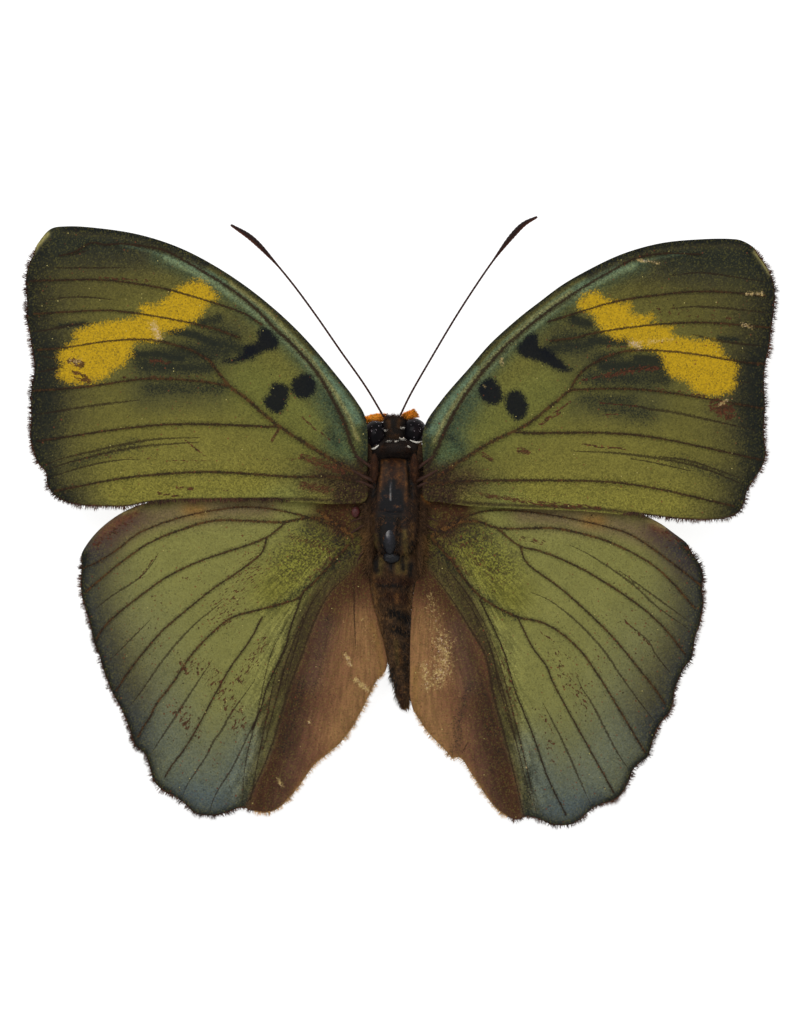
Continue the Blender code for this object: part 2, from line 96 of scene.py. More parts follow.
# Colours by name, as they look in even light.
PALETTE = {
    "olive": "#615c2a", "bright olive": "#706a2f", "gold olive": "#746e2e", "green olive": "#6e7038",
    "cell olive": "#62632e", "brown olive": "#504b25", "dark olive": "#424127", "umber": "#393524",
    "margin": "#1f1e17", "apex": "#22251e", "edge black": "#161816", "teal": "#586c56",
    "pale teal": "#6b7857", "dull teal": "#384432", "base brown": "#2f2116", "base olive": "#4c4828",
    "yellow": "#b39018", "band shade": "#6a5720", "navy": "#0b0e15", "dusk": "#171c1a", "vein": "#251a12",
    "rust": "#6a3c26", "maroon": "#56301f", "bare": "#c4a88c", "straw": "#b5a866", "hind olive": "#77753f",
    "hind grey": "#6b6b47", "slate": "#5c6152", "blue slate": "#4b5657", "border": "#292c30",
    "hind umber": "#474029", "red brown": "#4a3731", "dull brown": "#65543e", "tan": "#776842",
    "speckled green": "#6b6829", "bark": "#3c2517", "anal brown": "#6d4833", "anal light": "#87633f",
    "anal dark": "#452f26", "anal gold": "#7d5c34", "fringe dark": "#34221a", "fringe brown": "#5e3c2a",
    "fringe pale": "#c99f66", "vein brown": "#60401f", "root shade": "#232a20", "root teal": "#445338",
    "root rust": "#3c2415", "speckle dark": "#342c1b", "speckle light": "#77762f", "ridge gold": "#807a4c",
    "bead": "#49221f", "head black": "#1e1713", "tuft brown": "#46342d", "thorax brown": "#2a1b12",
    "plate brown": "#341d0f", "rim brown": "#5b3a1c", "body black": "#110e0c", "shell blue": "#121317",
    "shell grey": "#33333a", "painted highlight": "#a09c98", "abdomen brown": "#4b3622", "abdomen gold": "#6b4c29",
    "streak dark": "#3a301d", "tuft olive": "#5c4c26", "dust": "#b39a63", "lilac": "#8a7f8c",
    "sclerite": "#38231a", "hair brown": "#422e1d", "hair dark": "#1f150f", "hair gold": "#7a5a30",
    "hair orange": "#9a6224", "palp": "#e2912a", "palp dark": "#a85f1c", "antenna": "#2b130e",
    "antenna rust": "#74391f", "leg brown": "#2b1d15", "eye black": "#0a090b", "eye brown": "#161012",
    "eye dust": "#8a8084", "white": "#e6e0d4",
}

# A wing's outline, at the fringe's tips, runs from the root along the front edge and back along the rear.
# Pairs of indices bound its front edge (costa), fringed margin, the margin's dark outer part, and its rear.
# A hindwing's anal field is the brown one beside the body. From the index tuck on, its edge is tucked in.
# Veins are (half width at the root, half width at the end, share of rust, points from the root outwards).
# Folds are (half width, points). Yellow and black marks are outlines. The rest are strokes: (strength, width,
# points). Dusk darkens scales, and on the hindwings its last strokes are painted shade in the anal folds.
# Fleck strews rust, bare rubs scales off, and silk combs them into streaks.
LEFT_FOREWING = {
    "outline": [
        (-2.75, 2), (-2.95, 7.2), (-3.8, 8.8), (-5.5, 11.05), (-9.5, 15.7), (-13.5, 19.3), (-17.5, 22.1),
        (-21.5, 24.2), (-25.5, 25.5), (-29.5, 26.15), (-32.8, 26.35), (-34.4, 26.1), (-35.8, 24.5),
        (-36.8, 22.9), (-37.2, 21.3), (-37.1, 18.6), (-37.15, 17.2), (-36.8, 15.4), (-36.5, 13.4),
        (-36.35, 12.2), (-36.7, 9.8), (-36.7, 7), (-36.8, 5.2), (-36.4, 3.6), (-35.9, 2.4), (-35.2, 1.6),
        (-35.05, 0.4), (-34.4, -0.6), (-33.1, -1.45), (-31.4, -1.85), (-28.8, -1.97), (-26.8, -1.95),
        (-25, -1.6), (-22.5, -1.35), (-16.5, -1.25), (-10.5, -1.2), (-5, -1.4), (-2.9, -1),
    ],
    "costa": (1, 10),
    "fringe": (12, 35),
    "outer": (12, 28),
    "rear": (28, 36),
    "veins": [
        (0.2, 0.08, 0.1, [(-3.3, 2.4), (-4.3, 4.3), (-5, 6.5), (-5.7, 8), (-7.3, 11), (-8, 12), (-10.7, 15),
            (-11.8, 15.9), (-13.9, 18.1), (-16, 19.8), (-20.5, 22.6), (-23, 23.9), (-24.5, 24.25),
            (-27.5, 24.6), (-29, 24.5), (-30.3, 24.7), (-32, 23.8), (-33.5, 23.4)]),
        (0.1, 0.09, 0.3, [(-13.3, 16.5), (-15, 17.6), (-21.5, 19.7), (-23.5, 20.2), (-26.5, 20.7),
            (-29.5, 21), (-36.5, 20.9)]),
        (0.1, 0.09, 0.3, [(-15.5, 15.2), (-18, 16.1), (-20.5, 16.7), (-24.5, 17.45), (-27.5, 17.85),
            (-29, 17.95), (-36.1, 17.6)]),
        (0.22, 0.14, 0.5, [(-2.9, 1.4), (-5, 2.3), (-11.5, 6.3), (-12.7, 7.2), (-15.2, 9.4), (-16.2, 10.1),
            (-17, 10.9), (-18.5, 12.9)]),
        (0.12, 0.09, 0.3, [(-18.5, 12.9), (-20, 13.8), (-22, 14.5), (-24, 14.95), (-25.5, 15.05),
            (-27, 15.02), (-30, 14.7), (-33, 14.2), (-35.7, 14)]),
        (0.11, 0.09, 0.4, [(-16.7, 10.4), (-19, 10.8), (-22, 11.05), (-25, 11.1), (-31, 10.3),
            (-36.4, 9.9)]),
        (0.13, 0.09, 0.2, [(-11.5, 6.3), (-23, 6.52), (-35.7, 4.9)]),
        (0.14, 0.1, 0.3, [(-2.7, 0.9), (-7, 1.35), (-9.5, 1.3), (-17, 1.75), (-20.5, 1.75), (-27, 1.2),
            (-34, -0.1)]),
    ],
    "folds": [
        (0.12, [(-36.5, 15.8), (-35, 15.95), (-32, 16.5), (-29.5, 16.7)]),
        (0.12, [(-36, 11.7), (-32.5, 12.4)]),
        (0.08, [(-35.5, 13.4), (-33.7, 13.1)]),
        (0.12, [(-36, 7.5), (-30, 8.45), (-25.5, 9)]),
        (0.12, [(-35.5, 2.3), (-33.5, 3.05), (-30.5, 3.8), (-24.5, 5), (-19.5, 5.25)]),
        (0.12, [(-35, 2), (-32, 2.9), (-26, 4.25), (-19.5, 4.8)]),
        (0.08, [(-34.5, 1.2), (-31.5, 2.2), (-27.5, 3), (-25.5, 3.05)]),
        (0.08, [(-35, 19), (-31.5, 19.3), (-28, 19)]),
        (0.08, [(-34.5, 22.2), (-26.5, 22.2)]),
        (0.08, [(-32.5, 23.4), (-30.5, 24)]),
    ],
    "yellow": [
        [(-19.5, 21), (-18.8, 20.6), (-17.7, 19.1), (-18.5, 18.7), (-19.7, 17), (-20.3, 16.8),
            (-20.7, 16.4), (-22.7, 15.8), (-23.2, 15.8), (-23.3, 15.2), (-23.7, 14.9), (-25.7, 14.8),
            (-26.1, 14.5), (-26.2, 13.5), (-26.6, 13.2), (-27.1, 12.4), (-27.7, 12.2), (-29.2, 11.1),
            (-31.5, 10.6), (-32.5, 10.7), (-33.3, 11), (-33.8, 11.4), (-33.3, 12.6), (-33.7, 12.9),
            (-33.8, 13.3), (-32.9, 14.4), (-32, 15), (-32.2, 15.5), (-31.9, 15.9), (-29.8, 16.6),
            (-25.8, 17.4), (-25.4, 17.9), (-25.5, 18.2), (-25.1, 18.5), (-24, 18.5), (-23, 19.1),
            (-22.3, 19.8), (-20.2, 20.9)],
    ],
    "black": [
        [(-13.5, 16.1), (-12.9, 16.2), (-11.6, 14.8), (-12.1, 14), (-12.9, 13.9), (-14.8, 13),
            (-15.9, 12.7), (-17.3, 12.8), (-16, 13.2), (-15.2, 13.7), (-15, 14.3), (-13.8, 14.9),
            (-13.7, 15.8)],
        [(-8.6, 11.6), (-8.1, 11.1), (-7.9, 10.5), (-8, 9.9), (-8.5, 9.3), (-9.2, 9.1), (-9.8, 9.3),
            (-10.3, 9.8), (-10.4, 10.4), (-10.2, 11), (-9.2, 11.6)],
        [(-12.2, 10.6), (-11.8, 10.7), (-11.2, 10.6), (-10.6, 10.2), (-10.6, 9.5), (-10.8, 8.7),
            (-11.1, 8.1), (-11.6, 7.6), (-12.9, 8.3), (-13.1, 8.8), (-13.1, 9.3), (-12.6, 9.5),
            (-12.5, 10.1)],
    ],
    "dusk": [
        (0.85, 0.5, [(-19.3, 16.7), (-17.6, 17.1)]), (1.3, 0.42, [(-22.4, 15.9), (-20, 15.5), (-18, 14.6)]),
        (0.85, 0.75, [(-18.4, 14.9), (-14.6, 13.7)]),
        (1.15, 0.42, [(-26, 13.5), (-23.6, 13.6), (-21.3, 13.1)]),
        (0.85, 0.75, [(-25.2, 12.3), (-18.6, 12.2)]), (0.62, 0.7, [(-24.6, 10.2), (-17.2, 10.2)]),
        (0.78, 1.2, [(-25.2, 12.9), (-21.5, 13.6), (-17, 13.9)]), (0.5, 1, [(-19.5, 16.8), (-16.6, 15.4)]),
        (0.8, 0.3, [(-33.4, 16.4), (-31, 16.6)]), (0.45, 0.5, [(-6.7, 5.9), (-5.8, 4.6)]),
        (0.5, 1.5, [(-34.5, 14.5), (-34.6, 9), (-34.5, 4.5)]), (0.4, 0.7, [(-32, 2.6), (-26, 4.6)]),
    ],
    "fleck": [
        (0.75, 0.1, [(-29.5, 3.5), (-22.5, 2.95), (-7, 3.1)]), (1, 0.12, [(-21, 5), (-19, 3.4)]),
        (1, 0.22, [(-11.7, 5.9), (-12.3, 4.9)]), (1, 0.16, [(-9.4, 7.4), (-7.9, 6)]),
        (1, 0.14, [(-7.4, 5.7), (-6.5, 5)]), (1, 0.5, [(-9.2, 3.3), (-5.3, 1.9)]),
        (0.85, 0.7, [(-9.2, 0.5), (-6.9, 0)]), (0.8, 0.3, [(-21.7, 0.2), (-20.2, 0.1)]),
        (0.8, 0.25, [(-23.7, -0.3), (-21.5, -0.6)]), (0.7, 0.2, [(-17.3, 0), (-16.7, 0)]),
        (0.7, 0.22, [(-29.5, 21.2), (-24.5, 20.9)]), (0.8, 0.3, [(-24.5, 12.9), (-22.5, 12.7)]),
        (0.9, 0.6, [(-32.4, 12.9), (-31.4, 12.6)]), (0.8, 0.6, [(-32, 11.6), (-30.6, 10.9)]),
        (0.6, 0.35, [(-28, 11.2), (-19, 11.3)]),
    ],
    "bare": [(0.9, 0.55, [(-24.2, 16.5), (-23.5, 15.2)]), (0.7, 0.45, [(-32.3, 12.8), (-31.6, 12.9)])],
    "silk": [(0.8, 2, [(-4, 1), (-7, 0.5)])],
}
RIGHT_FOREWING = {
    "outline": [
        (2.85, 2), (2.9, 6.2), (4.5, 8.8), (7.5, 12.3), (9.5, 14.6), (12.5, 17.3), (14.5, 18.85),
        (16.5, 20.35), (18.5, 21.55), (22.5, 23.5), (26.5, 24.65), (30.5, 25.05), (33.5, 25.1),
        (34.6, 24.95), (35.8, 24.3), (36.8, 23.4), (37.5, 22.4), (38.1, 21), (38.3, 19.6), (38.2, 18),
        (37.9, 15.8), (37.75, 14.3), (37.35, 12.6), (37.2, 10.8), (37.3, 8.5), (37.2, 5.7), (37.4, 3.5),
        (37, 2.2), (36.2, 0.9), (35.5, -0.2), (35.2, -1.4), (34.5, -2.5), (33.2, -3.1), (31.5, -3.3),
        (29, -3.25), (25.5, -2.85), (22.5, -2.45), (18.5, -2.1), (12.5, -1.85), (7.5, -1.6), (4.5, -1.2),
        (2.95, -0.9),
    ],
    "costa": (1, 13),
    "fringe": (14, 36),
    "outer": (14, 31),
    "rear": (31, 42),
    "veins": [
        (0.2, 0.08, 0.1, [(2.9, 2), (3.5, 2.8), (6, 7.9), (8.1, 11), (10.8, 14.1), (16, 18.4), (22, 22.1),
            (23.7, 23), (26.5, 23.6), (30.5, 23.55)]),
        (0.1, 0.09, 0.3, [(15.3, 16.8), (22, 18.8), (26.5, 19.5), (29.5, 19.8), (32.5, 19.8), (37, 19.4)]),
        (0.1, 0.09, 0.3, [(15.5, 14.9), (18, 15.2), (19.5, 15.6), (24, 16.3), (28.5, 16.68), (31.5, 16.7),
            (37.7, 16.2)]),
        (0.22, 0.14, 0.5, [(2.9, 0.8), (4, 1.2), (7, 3.2), (10, 5), (13, 6.45), (17.5, 10)]),
        (0.12, 0.09, 0.4, [(17.5, 10), (18.3, 11.4), (19, 12.1), (21, 13.25), (23, 13.85), (24.5, 13.95),
            (27.5, 13.85), (30.5, 13.5), (35, 12.75), (36.9, 12.6)]),
        (0.11, 0.09, 0.4, [(17.5, 10), (20.5, 10.1), (25, 10), (32.5, 8.9), (37, 8.1)]),
        (0.13, 0.09, 0.2, [(12, 5.8), (13.5, 5.7), (21, 5.7), (25.5, 5.3), (36.7, 3)]),
        (0.14, 0.1, 0.3, [(2.9, 0.6), (6, 0.85), (16.5, 0.95), (20.5, 0.85), (22.5, 0.7), (26, 0.15),
            (33.8, -1.6)]),
    ],
    "folds": [
        (0.08, [(27.5, 21.4), (30.5, 21.7), (37, 20.8)]),
        (0.1, [(27.5, 18.1), (29.5, 18.3), (32.5, 18.2), (37.5, 17.7)]),
        (0.12, [(29.5, 15.6), (32.5, 14.9), (36.5, 14.4)]),
        (0.1, [(20.8, 11.1), (22, 11.6), (25, 12.15), (30, 11.85), (31.5, 11.6), (34, 10.9), (35.5, 10.7)]),
        (0.12, [(20.5, 8.7), (24.5, 8.3), (25.5, 8.05), (27, 7.9), (36, 6)]),
        (0.12, [(17.5, 3.9), (22.5, 3.65), (27.5, 2.95), (30.5, 2.25), (35, 0.5)]),
        (0.09, [(26.5, 3.35), (28.5, 3.1), (30, 2.75), (34.5, 1.2)]),
        (0.08, [(23.5, 3.1), (25.5, 2.8), (29.5, 1.9)]),
    ],
    "yellow": [
        [(18.3, 18.7), (18.5, 19.2), (19.8, 19.9), (20.5, 19.7), (20.8, 19.3), (21.8, 18.9), (22.9, 18.7),
            (23.5, 18.8), (23.7, 18.4), (23.4, 18), (23.8, 17.7), (24.7, 17.4), (25.7, 17.5), (26, 17.2),
            (25.5, 16.8), (28, 16.2), (27.7, 15.8), (28.1, 15.4), (31.7, 14.9), (32.3, 14.6), (32.7, 14.1),
            (32.8, 13.6), (33.2, 13.2), (34, 12.8), (34.3, 12.2), (34.2, 11.6), (33.9, 11.2), (34.2, 10.5),
            (33.7, 9.9), (33, 9.6), (32, 9.4), (31, 9.4), (30.3, 9.6), (28.9, 10.8), (27.7, 11.3),
            (27, 12.1), (26.5, 13.4), (26.1, 13.8), (24.5, 14.3), (23.7, 14.1), (23.3, 15), (22.3, 15),
            (21.7, 15.2), (20.3, 16.3), (19.9, 17.3), (18.2, 18.3)],
    ],
    "black": [
        [(8.9, 10.9), (9.4, 11.2), (9.9, 11.1), (10.7, 9.9), (10.8, 9.3), (10.5, 8.8), (10, 8.5), (8.8, 9),
            (8.4, 9.6), (8.3, 10.2), (8.5, 10.6)],
        [(11.6, 9.9), (12.2, 10), (12.7, 9.7), (13.3, 8.4), (13.2, 7.7), (12.8, 7.2), (12.2, 6.9),
            (11.2, 7.9), (11, 8.5), (11, 9.2), (11.2, 9.6)],
        [(13.2, 15.5), (13.8, 15.7), (14.2, 15.5), (14.5, 14.3), (15.1, 14.2), (17.3, 12.3), (17.8, 12),
            (17, 11.8), (16.1, 12), (14.5, 12.8), (12.9, 13.3), (12.4, 13.6), (12.2, 14.1), (12.4, 14.6),
            (12.8, 14.9)],
    ],
    "dusk": [
        (1.1, 0.6, [(17.9, 17), (19.3, 16.6)]), (1.4, 0.45, [(19.6, 14.9), (23, 14.9)]),
        (1.4, 0.45, [(24.2, 13.1), (26.6, 13)]), (1, 0.75, [(20.8, 12.4), (26.3, 12.5)]),
        (0.7, 0.8, [(19.3, 11.2), (27, 11.2)]), (0.8, 0.3, [(32.4, 15.2), (34.2, 15)]),
        (0.85, 0.75, [(15.4, 14), (19.6, 14.6)]), (0.45, 0.5, [(5.6, 5.2), (6.6, 4.2)]),
        (0.5, 0.7, [(18.8, 9.1), (23.5, 8.8)]), (0.6, 1.3, [(16.5, 14.8), (20, 15)]),
        (0.72, 1.1, [(20.6, 13), (26.6, 11.8)]), (0.5, 1.5, [(36, 13), (35.6, 8), (35.6, 3.5)]),
        (0.4, 0.7, [(33.5, 1.2), (28, 3)]), (0.5, 0.9, [(20, 8.6), (25, 7.6)]),
    ],
    "fleck": [
        (1, 0.14, [(14.5, 6.5), (16.5, 7.7)]), (0.9, 0.16, [(18.7, 4.6), (20.5, 4.3), (23, 4.1)]),
        (1, 0.4, [(12.4, 4), (13.3, 3.8)]), (1, 0.3, [(8.8, 3.6), (9.7, 3)]),
        (0.8, 0.16, [(20.8, 7.5), (22.2, 7.6)]), (0.75, 0.35, [(8.5, -0.4), (14, -1.2), (20.5, -1.8)]),
        (1.2, 0.95, [(32.2, 8.4), (33.2, 7.7)]), (0.8, 0.5, [(21, 11.3), (23.5, 11.9), (26, 12.2)]),
        (0.75, 0.25, [(18.7, 11), (25, 12.1), (26.5, 12.2)]), (0.8, 0.2, [(17.5, 8.8), (14.4, 6.6)]),
        (0.5, 1.2, [(26, 18), (34, 17)]), (0.8, 0.3, [(9, -0.6), (12.5, -1.1), (18, -1.9)]),
        (0.6, 0.3, [(26, 0.8), (27.3, 0.1)]), (0.6, 0.3, [(20.5, 14.4), (25, 14.2)]),
        (0.7, 0.2, [(26, 10.2), (31, 9.4)]), (0.7, 0.2, [(20.5, 8.7), (24.5, 8.3)]),
    ],
    "bare": [
        (1, 0.5, [(23.6, 14.7), (24.3, 14.4)]), (0.6, 0.4, [(24.6, 14.7), (27.6, 15)]),
        (0.8, 0.25, [(24.3, 23), (26.3, 22.7)]), (0.75, 0.3, [(35, 19.6), (36.7, 19.6)]),
        (0.75, 0.3, [(34.7, 16.5), (35.8, 16.3)]), (0.8, 0.25, [(32.4, 8.5), (33.2, 9)]),
        (0.8, 0.2, [(8.9, 10.4), (9, 10.3)]), (0.7, 0.3, [(10.7, 13.1), (10.8, 12.6)]),
    ],
    "silk": [(0.8, 2, [(4, 1), (7, 0.5)])],
}
LEFT_HINDWING = {
    "anal": [
        (-2, -6), (-4.5, -8.2), (-6.5, -10.2), (-8, -13), (-9.3, -16.5), (-10.5, -19.7), (-11.5, -22.8),
        (-12.5, -26.2), (-13.7, -28.8), (-14.8, -31.3), (-15.2, -34), (-8, -34), (2, -24), (2, -10),
    ],
    "outline": [
        (-3.5, -1.2), (-6.5, -0.3), (-11, 0.1), (-15.5, 0.1), (-19.5, -0.25), (-23.5, -0.95),
        (-26.5, -1.85), (-28.6, -3.1), (-30.3, -4.7), (-31.4, -6.4), (-31.75, -8.2), (-31.75, -10.3),
        (-31.4, -11.8), (-30.9, -13.4), (-30.5, -15.2), (-29.9, -16.7), (-29.4, -18.4), (-28.6, -20.4),
        (-27.6, -22.3), (-26.8, -24.3), (-26.3, -25.8), (-25.4, -26.5), (-24.9, -27.7), (-24.5, -29.1),
        (-23.5, -30.3), (-22.2, -31), (-21.2, -31.7), (-20.2, -32.6), (-19, -32.9), (-17.6, -32.85),
        (-16.2, -32.4), (-15.3, -32.1), (-14.5, -32.4), (-12.9, -32.65), (-11.5, -32.15), (-10.3, -31),
        (-9.1, -29.5), (-7.9, -27.8), (-6.7, -26.8), (-5.2, -25.5), (-4.3, -24.4), (-3.3, -22.7),
        (-2.5, -21.1), (-1.6, -19.3), (-1.05, -18), (-1.5, -15.5), (-2.1, -13.5), (-2.8, -11), (-3.2, -8.5),
        (-3.35, -6.5), (-3.15, -4),
    ],
    "costa": (1, 8),
    "fringe": (9, 44),
    "outer": (9, 32),
    "tuck": 43,
    "veins": [
        (0.09, 0.08, 0.5, [(-5.2, -3.9), (-9.5, -2.5), (-14.5, -1.7), (-18.5, -2.1), (-22, -2.9), (-25, -4),
            (-26, -4.55), (-28, -6.1), (-30, -7.3), (-31.2, -7.8)]),
        (0.16, 0.14, 1, [(-4.3, -4.6), (-7.7, -2.1)]),
        (0.13, 0.09, 0.6, [(-6.5, -3), (-8, -2.8), (-9.5, -2.9), (-11, -3.2), (-17, -3), (-18.3, -3.1),
            (-19.5, -3.35), (-21.5, -4), (-24.5, -5.25), (-27.5, -7.3), (-31, -10.2)]),
        (0.1, 0.09, 0.4, [(-11, -3.3), (-12.8, -4.7), (-19.5, -7.1), (-22.5, -8.5), (-24.5, -9.85),
            (-27.5, -12.15), (-28.5, -13.05), (-29.5, -14.2), (-29.9, -15)]),
        (0.09, 0.09, 0.4, [(-12.8, -4.7), (-13.3, -6.2), (-13.9, -6.8), (-16.2, -8.55), (-17.7, -9.5),
            (-22.3, -13.2), (-23.5, -14.3), (-26.7, -18.2), (-27.9, -20.1)]),
        (0.12, 0.09, 0.5, [(-4.7, -5.5), (-8.3, -9.4), (-9.2, -10.2), (-9.5, -10.7), (-13.3, -11.9),
            (-15.5, -12.45), (-16.5, -12.85), (-17.3, -13.4), (-20.3, -16.4), (-22.3, -19.4), (-24, -21.6),
            (-24.5, -22.7), (-25.2, -23.7), (-25.7, -24.7)]),
        (0.08, 0.08, 0.2, [(-13.3, -12.7), (-14.5, -15), (-16.5, -17.8), (-20.8, -25.5), (-22.5, -27.8),
            (-23, -28.7)]),
        (0.09, 0.08, 0, [(-9.2, -10.2), (-10.6, -14.2), (-10.9, -15.5), (-13, -20.2), (-13.3, -21.5),
            (-14.3, -24)]),
    ],
    "folds": [
        (0.07, [(-10.8, -13.2), (-12.4, -16.4), (-13.8, -22.5), (-15, -27.5), (-15.3, -31.7)]),
        (0.07, [(-10.2, -14.5), (-11.8, -18), (-12.8, -22.5), (-14, -28.5), (-14.5, -31.6)]),
        (0.07, [(-9.2, -12.6), (-10.8, -17), (-11.9, -21), (-13.2, -26)]),
        (0.07, [(-6.4, -8.6), (-8.6, -11.8), (-9.9, -15.6), (-11, -19.4)]),
        (0.12, [(-4.6, -8.4), (-6.6, -10.4), (-8.1, -13.2), (-9.4, -16.7), (-10.6, -19.9), (-12.6, -26.3),
            (-15, -31.8)]),
        (0.1, [(-17.3, -11.2), (-20, -13.4), (-22, -15.5), (-23.5, -17.4), (-25.8, -20.7), (-26.9, -22)]),
        (0.1, [(-18.3, -17), (-24.5, -26.5)]),
        (0.1, [(-14, -19), (-16.7, -22.8), (-17.3, -24), (-18.2, -25.2), (-18.7, -26.3), (-20.9, -29.7),
            (-21.2, -30.5)]),
        (0.09, [(-13.5, -22), (-16.3, -27.8), (-17.7, -30), (-18.3, -31.3), (-18.6, -32.5)]),
        (0.06, [(-4.1, -9.2), (-4.1, -12), (-3.95, -16)]),
        (0.08, [(-23.7, -6.3), (-24.2, -7.2), (-25.5, -8.7), (-28.5, -10.7), (-30.2, -12.1)]),
        (0.07, [(-24.5, -13), (-28.5, -17)]),
    ],
    "yellow": [],
    "black": [],
    # The last two dusk strokes lie along folds of the anal field: painted shade.
    "dusk": [
        (0.4, 0.5, [(-4.5, -6.2), (-9, -9.8), (-12.5, -11.9)]), (0.35, 1.2, [(-6, -5), (-9, -4.2)]),
        (0.35, 0.5, [(-14.6, -29), (-15, -31.8)]), (0.26, 0.8, [(-9.4, -19.5), (-11.2, -26)]),
        (0.16, 0.45, [(-6.6, -13), (-8.2, -20.5)]),
    ],
    "fleck": [
        (0.58, 2.2, [(-19.8, -17.5), (-17.5, -19.5), (-15.5, -23.5)]),
        (0.6, 1.4, [(-21.5, -22), (-20, -24.5)]), (0.68, 0.35, [(-20.3, -17.2), (-19.6, -18.6)]),
        (0.68, 0.4, [(-22.2, -22.3), (-20.6, -23.4)]), (0.6, 0.35, [(-16.4, -22.2), (-15.8, -24)]),
        (0.62, 0.25, [(-21.8, -16.2), (-21, -17.8)]), (0.55, 3.5, [(-14, -7.5), (-17.5, -12.5)]),
        (0.52, 0.5, [(-22, -8.7), (-19, -9.2)]), (0.6, 1.2, [(-13, -15), (-15.5, -19)]),
        (0.8, 0.35, [(-21.5, -17.3), (-20.8, -18.4)]), (0.9, 0.12, [(-23.7, -6.3), (-25.5, -8.7)]),
        (0.6, 1.2, [(-30, -5.4), (-26.5, -3)]), (0.4, 5, [(-25, -12), (-18, -27)]),
        (0.5, 1, [(-12.8, -21), (-13, -26)]), (0.62, 0.8, [(-10.5, -4.6), (-6.5, -6)]),
        (0.6, 0.5, [(-8.5, -8.8), (-6.2, -6.6)]),
    ],
    "bare": [
        (0.9, 0.3, [(-4.9, -16.5), (-4.5, -17.5)]), (0.9, 0.35, [(-4, -19), (-2.6, -20.2)]),
        (0.25, 1.6, [(-3, -12), (-2.6, -17.5)]), (0.14, 3, [(-6, -14), (-8, -24)]),
        (0.7, 0.3, [(-8.6, -23.2), (-8.6, -23.3)]), (0.75, 0.3, [(-11.7, -29), (-11.3, -29.6)]),
        (0.5, 0.25, [(-21.3, -17.2), (-21.1, -17.5)]),
    ],
    "silk": [
        (1, 2.6, [(-4.5, -9.5), (-6, -17), (-8.5, -23.5), (-11, -30)]),
        (0.9, 1.8, [(-5, -5), (-9.5, -9.5), (-11.5, -15), (-13, -22), (-15, -30)]),
        (0.7, 2.4, [(-5, -4.5), (-9, -7), (-12, -11)]),
    ],
}
